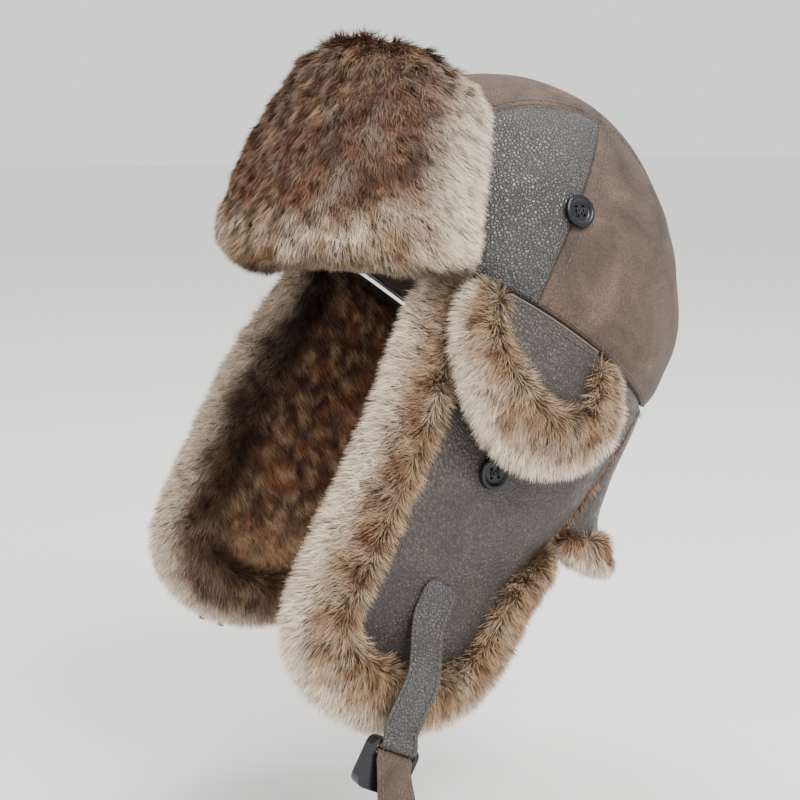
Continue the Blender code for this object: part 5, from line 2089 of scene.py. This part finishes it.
def ribbon_section(corners, half):
    """Adds points along the long sides, so that a row of stitches can press into the leather."""
    dense = []
    for k, corner in enumerate(corners):
        after = corners[(k + 1) % len(corners)]
        dense.append(corner)
        if abs(after[0] - corner[0]) > half:
            for step in range(1, 14):
                x, y = mix(corner[0], after[0], step / 14), mix(corner[1], after[1], step / 14)
                dense.append((x, y + 0.00028 * (1 - (x / half) ** 2) * (1 if y > 0 else -1)))
    return dense


def strap_path(start, end, steps, side):
    """(middle, across, out) of a strap along the flap between two drops."""
    path = []
    for k in range(steps + 1):
        drop = mix(start, end, k / steps)
        middle = lifted(STRAP_PLACE, drop, strap_height(drop))
        back, _, out = flap_axes(STRAP_PLACE, drop)
        path.append([mirror_of(vector, side) for vector in (middle, back, out)])
    return path


def strap_height(drop):
    """How far the strap's underside lies over the leather: flat down to its bend, then over the fur."""
    start, rise = STRAP_TOP + 0.4 * (STRAP_BEND - STRAP_TOP), 2.6 * STRAP_RISE
    return mix(SOFT_GAP / 2, STRAP_STANDOFF, smooth((drop - start) / rise)) + STRAP_THICK / 2


def strap_length(side):
    return STRAP_LENGTH if side > 0 else PLUG_STRAP_LENGTH


def buckle_frame(side):
    """The middle of the buckle's top edge, and its axes: across, down and out."""
    drop = STRAP_BEND + strap_length(side)
    back, down, out = flap_axes(STRAP_PLACE, drop)
    across = (back - down * back.dot(down)).normalized()
    return lifted(STRAP_PLACE, drop, STRAP_STANDOFF + STRAP_THICK / 2) + down * BUCKLE_GAP, across, down, out


def strap_rows(piece, path, inset=0.0022):
    """A row of stitches along both edges of a strap."""
    half = STRAP_WIDTH / 2 - inset
    return [
        laid_on([place + across * half * way + out * 0.003 for place, across, out in path], piece)
        for way in (1, -1)
    ]


def buckle_path(side, places):
    """(middle, across, out) of a strap that passes through places (down, out) of the buckle's section."""
    top, across, down, out = buckle_frame(side)
    steps = 5
    line = []
    for k in range(len(places) - 1):
        (low, lift), (next_low, next_lift) = places[k], places[k + 1]
        line += [(mix(low, next_low, j / steps), mix(lift, next_lift, j / steps)) for j in range(steps)]
    line.append(places[-1])
    for _ in range(3):
        line = [line[0]] + [
            tuple((a + 2 * b + c) / 4 for a, b, c in zip(*three)) for three in zip(line, line[1:], line[2:])
        ] + [line[-1]]
    path = []
    for k, (low, lift) in enumerate(line):
        before, after = line[max(k - 1, 0)], line[min(k + 1, len(line) - 1)]
        run = down * (after[0] - before[0]) + out * (after[1] - before[1])
        face = across.cross(run).normalized()
        face = face if face.dot(out * (after[0] - before[0]) - down * (after[1] - before[1])) > 0 else -face
        path.append([mirror_of(vector, side) for vector in (top + down * low + out * lift, across, face)])
    return path


def build_strap(side):
    """One strap for the sewn tab and the part that swings, baked in place."""
    word = side_name(side)
    body = "chin_strap_" + word
    path = strap_path(STRAP_TOP, STRAP_BEND + strap_length(side) - 0.004, 66, side)
    path += buckle_path(side, STRAP_ROUND_BAR)
    piece = ribbon(body + "_leather", path, STRAP_WIDTH, STRAP_THICK, glossy_leather(), 0.55)
    rows = stitches_for(body + "_stitching", strap_rows(piece, path[3:-2]))
    for made in (piece, rows):
        bend_strap(made)
    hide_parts("strap_tab_" + word, "chin_strap_" + word)


def bend_strap(piece):
    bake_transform(piece)


def build_tail():
    """The loose end of the left strap, which comes out of the buckle's slot and hangs in front of it."""
    _, across, _, _ = buckle_frame(1)
    path = buckle_path(1, TAIL_OUT_OF_SLOT)
    start, steps = path[-1][0], 46
    hanging = []
    for k in range(1, steps + 1):
        share = k / steps
        sway = Vector((TAIL_BOW * sin(pi * share), TAIL_SWING * share**2, -TAIL_LENGTH * share))
        turned = mix(across, Vector((0, 1, 0)), smooth(3 * share)).normalized()
        hanging.append([start + sway, turned, None])
    places = [path[-1][0]] + [point[0] for point in hanging]
    for k, point in enumerate(hanging):
        run = places[min(k + 2, steps)] - places[k]
        away = run.cross(point[1]).normalized()
        point[2] = away if away.x > 0 else -away
    path += hanging
    piece = ribbon("strap_tail_leather", path, STRAP_WIDTH, STRAP_THICK, brushed_leather(), 0.4)
    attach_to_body(piece, "strap_tail_left")
    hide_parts("strap_tail_left")
    rows = strap_rows(piece, path[12:-2])
    stitching("strap_tail_stitching", rows, "strap_tail_left")


def soften(node, width, finish):
    """Rounds the edges of a solid that stays shown, and gives it its finish."""
    solid = frame["nodes"][node]
    bevel = solid.modifiers.new("edges", "BEVEL")
    bevel.width = width
    bevel.segments = 3
    bevel.limit_method = "ANGLE"
    bevel.angle_limit = radians(40)
    bevel.harden_normals = False
    repaint(node, finish)


# ---------------------------------------------------------------- stage


def build_floor(values, low):
    """A pale plane just under the hat, so large that its edge is never seen."""
    size = 12.0
    corners = [(-size, -size, low), (size, -size, low), (size, size, low), (-size, size, low)]
    data = bpy.data.meshes.new("floor")
    data.from_pydata(corners, [], [(0, 1, 2, 3)])
    made, _, shader = new_material("pale_floor")
    shader.inputs["Base Color"].default_value = (*values.floor, 1.0)
    shader.inputs["Roughness"].default_value = 0.9
    data.materials.append(made)
    return new_object("floor", data)


def area_light(name, place, aim, size, power, tone):
    light = bpy.data.lights.new(name, "AREA")
    light.shape = "RECTANGLE"
    light.size, light.size_y = size
    light.energy = power
    light.color = tone
    made = new_object(name, light)
    made.location = place
    made.rotation_euler = (Vector(aim) - Vector(place)).to_track_quat("-Z", "Y").to_euler()
    return made


def camera_axes(values):
    """Unit vectors to the right, up and back of the camera."""
    azimuth, elevation = radians(values.azimuth), radians(values.elevation)
    back = Vector((sin(azimuth) * cos(elevation), -cos(azimuth) * cos(elevation), sin(elevation)))
    right = Vector((cos(azimuth), sin(azimuth), 0))
    return right, back.cross(right), back


def build_camera(values):
    right, up, back = camera_axes(values)
    lens = bpy.data.cameras.new("camera")
    lens.lens = values.lens
    lens.sensor_width = 36.0
    lens.clip_start = 0.01
    made = new_object("camera", lens)
    made.location = right * values.aim_right + up * values.aim_up + back * values.distance
    made.rotation_euler = Matrix((right, up, back)).transposed().to_euler()
    bpy.context.scene.camera = made
    return made


def build_world():
    world = bpy.data.worlds.new("studio")
    world.use_nodes = True
    background = world.node_tree.nodes["Background"]
    background.inputs["Color"].default_value = (1.0, 0.99, 0.98, 1.0)
    background.inputs["Strength"].default_value = 1.25
    bpy.context.scene.world = world


def build_lights(values):
    """A broad key from the camera's upper right, a fill from its left, and a strip that skims the crown."""
    right, _, back = camera_axes(values)
    world_up = Vector((0, 0, 1))
    aim = (0.0, 0.0, 0.0)
    return [
        area_light("key", right * 0.9 + world_up * 1.3 + back * 1.1, aim, (0.9, 0.9), 52.0, (1.0, 0.98, 0.95)),
        area_light("fill", right * -1.3 + world_up * 0.5 + back * 1.0, aim, (1.2, 1.2), 8.0, (0.94, 0.97, 1.0)),
        area_light("top", world_up * 1.6 - back * 0.3, aim, (1.0, 0.5), 14.0, (1.0, 1.0, 1.0)),
    ]


# ---------------------------------------------------------------- the add-on


class HatPiece:
    """What every step of the hat has in common."""

    bl_options = {"REGISTER", "UNDO"}

    @classmethod
    def poll(cls, context):
        return bool(frame["nodes"])


class HAT_OT_crown(HatPiece, bpy.types.Operator):
    """Sews the crown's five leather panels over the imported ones"""

    bl_idname = "hat.crown"
    bl_label = "Crown"

    def execute(self, context):
        build_crown()
        return {"FINISHED"}


class HAT_OT_lining(HatPiece, bpy.types.Operator):
    """Fills the crown with its quilted lining and its sweatband"""

    bl_idname = "hat.lining"
    bl_label = "Lining"

    def execute(self, context):
        build_lining()
        return {"FINISHED"}


class HAT_OT_visor(HatPiece, bpy.types.Operator):
    """Grows the fur visor, and sews its leather back"""

    bl_idname = "hat.visor"
    bl_label = "Visor"

    def execute(self, context):
        build_visor()
        return {"FINISHED"}


class HAT_OT_flaps(HatPiece, bpy.types.Operator):
    """Makes both ear flaps, with their fur"""

    bl_idname = "hat.flaps"
    bl_label = "Ear Flaps"

    def execute(self, context):
        for side in (1, -1):
            build_flap(side)
        return {"FINISHED"}


class HAT_OT_covers(HatPiece, bpy.types.Operator):
    """Makes both ear covers, with their fur edges and their elastic loops"""

    bl_idname = "hat.covers"
    bl_label = "Ear Covers"

    def execute(self, context):
        for side in (1, -1):
            build_cover(side)
        return {"FINISHED"}


class HAT_OT_curtain(HatPiece, bpy.types.Operator):
    """Makes the neck curtain, with its fur lining and its hem"""

    bl_idname = "hat.curtain"
    bl_label = "Neck Curtain"

    def execute(self, context):
        build_curtain()
        return {"FINISHED"}


class HAT_OT_buttons(HatPiece, bpy.types.Operator):
    """Sews on the four buttons"""

    bl_idname = "hat.buttons"
    bl_label = "Buttons"

    def execute(self, context):
        for word in ("left", "right"):
            build_button("crown_button_" + word + "_turned", "crown_button_" + word, "crown")
            build_button("flap_button_" + word + "_turned", "ear_flap_button_" + word, "ear_flap_" + word)
        return {"FINISHED"}


class HAT_OT_straps(HatPiece, bpy.types.Operator):
    """Makes the strap tabs, the chin straps, the buckle and the loose end"""

    bl_idname = "hat.straps"
    bl_label = "Straps and Buckle"

    def execute(self, context):
        for side in (1, -1):
            build_strap(side)
        build_tail()
        for node in ("buckle_socket_left", "buckle_plug_right"):
            soften(node, 0.0007, polished_plastic())
        return {"FINISHED"}


class HAT_OT_stage(HatPiece, bpy.types.Operator):
    """Puts up the floor, the lights and the camera"""

    bl_idname = "hat.stage"
    bl_label = "Stage"

    def execute(self, context):
        values = settings("stage")
        build_world()
        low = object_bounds()[0][2] - 0.006
        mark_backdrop(build_floor(values, low), *build_lights(values), build_camera(values))
        return {"FINISHED"}


STEPS = (
    HAT_OT_crown,
    HAT_OT_lining,
    HAT_OT_visor,
    HAT_OT_flaps,
    HAT_OT_covers,
    HAT_OT_curtain,
    HAT_OT_buttons,
    HAT_OT_straps,
    HAT_OT_stage,
)
SETTINGS = {
    "hat_leather": HatLeatherSettings,
    "hat_fur": HatFurSettings,
    "hat_trim": HatTrimSettings,
    "hat_stage": HatStageSettings,
}


class HAT_PT_panel(bpy.types.Panel):
    """Sizes, colours and steps of the hat, in the 3D view's sidebar."""

    bl_idname = "HAT_PT_panel"
    bl_label = "Trapper Hat"
    bl_space_type = "VIEW_3D"
    bl_region_type = "UI"
    bl_category = "Hat"

    def draw(self, context):
        layout = self.layout
        layout.use_property_split = True
        for key, group in SETTINGS.items():
            box = layout.box()
            for name in group.__annotations__:
                box.prop(getattr(context.scene, key), name)
        for step in STEPS:
            layout.operator(step.bl_idname)


def register():
    for kind in (*SETTINGS.values(), *STEPS, HAT_PT_panel):
        bpy.utils.register_class(kind)
    for key, group in SETTINGS.items():
        setattr(bpy.types.Scene, key, bpy.props.PointerProperty(type=group))


def unregister():
    for key in SETTINGS:
        delattr(bpy.types.Scene, key)
    for kind in (HAT_PT_panel, *STEPS[::-1], *SETTINGS.values()):
        bpy.utils.unregister_class(kind)


def main():
    register()
    for step in STEPS:
        group, name = step.bl_idname.split(".")
        getattr(getattr(bpy.ops, group), name)()


if __name__ == "__main__":
    main()
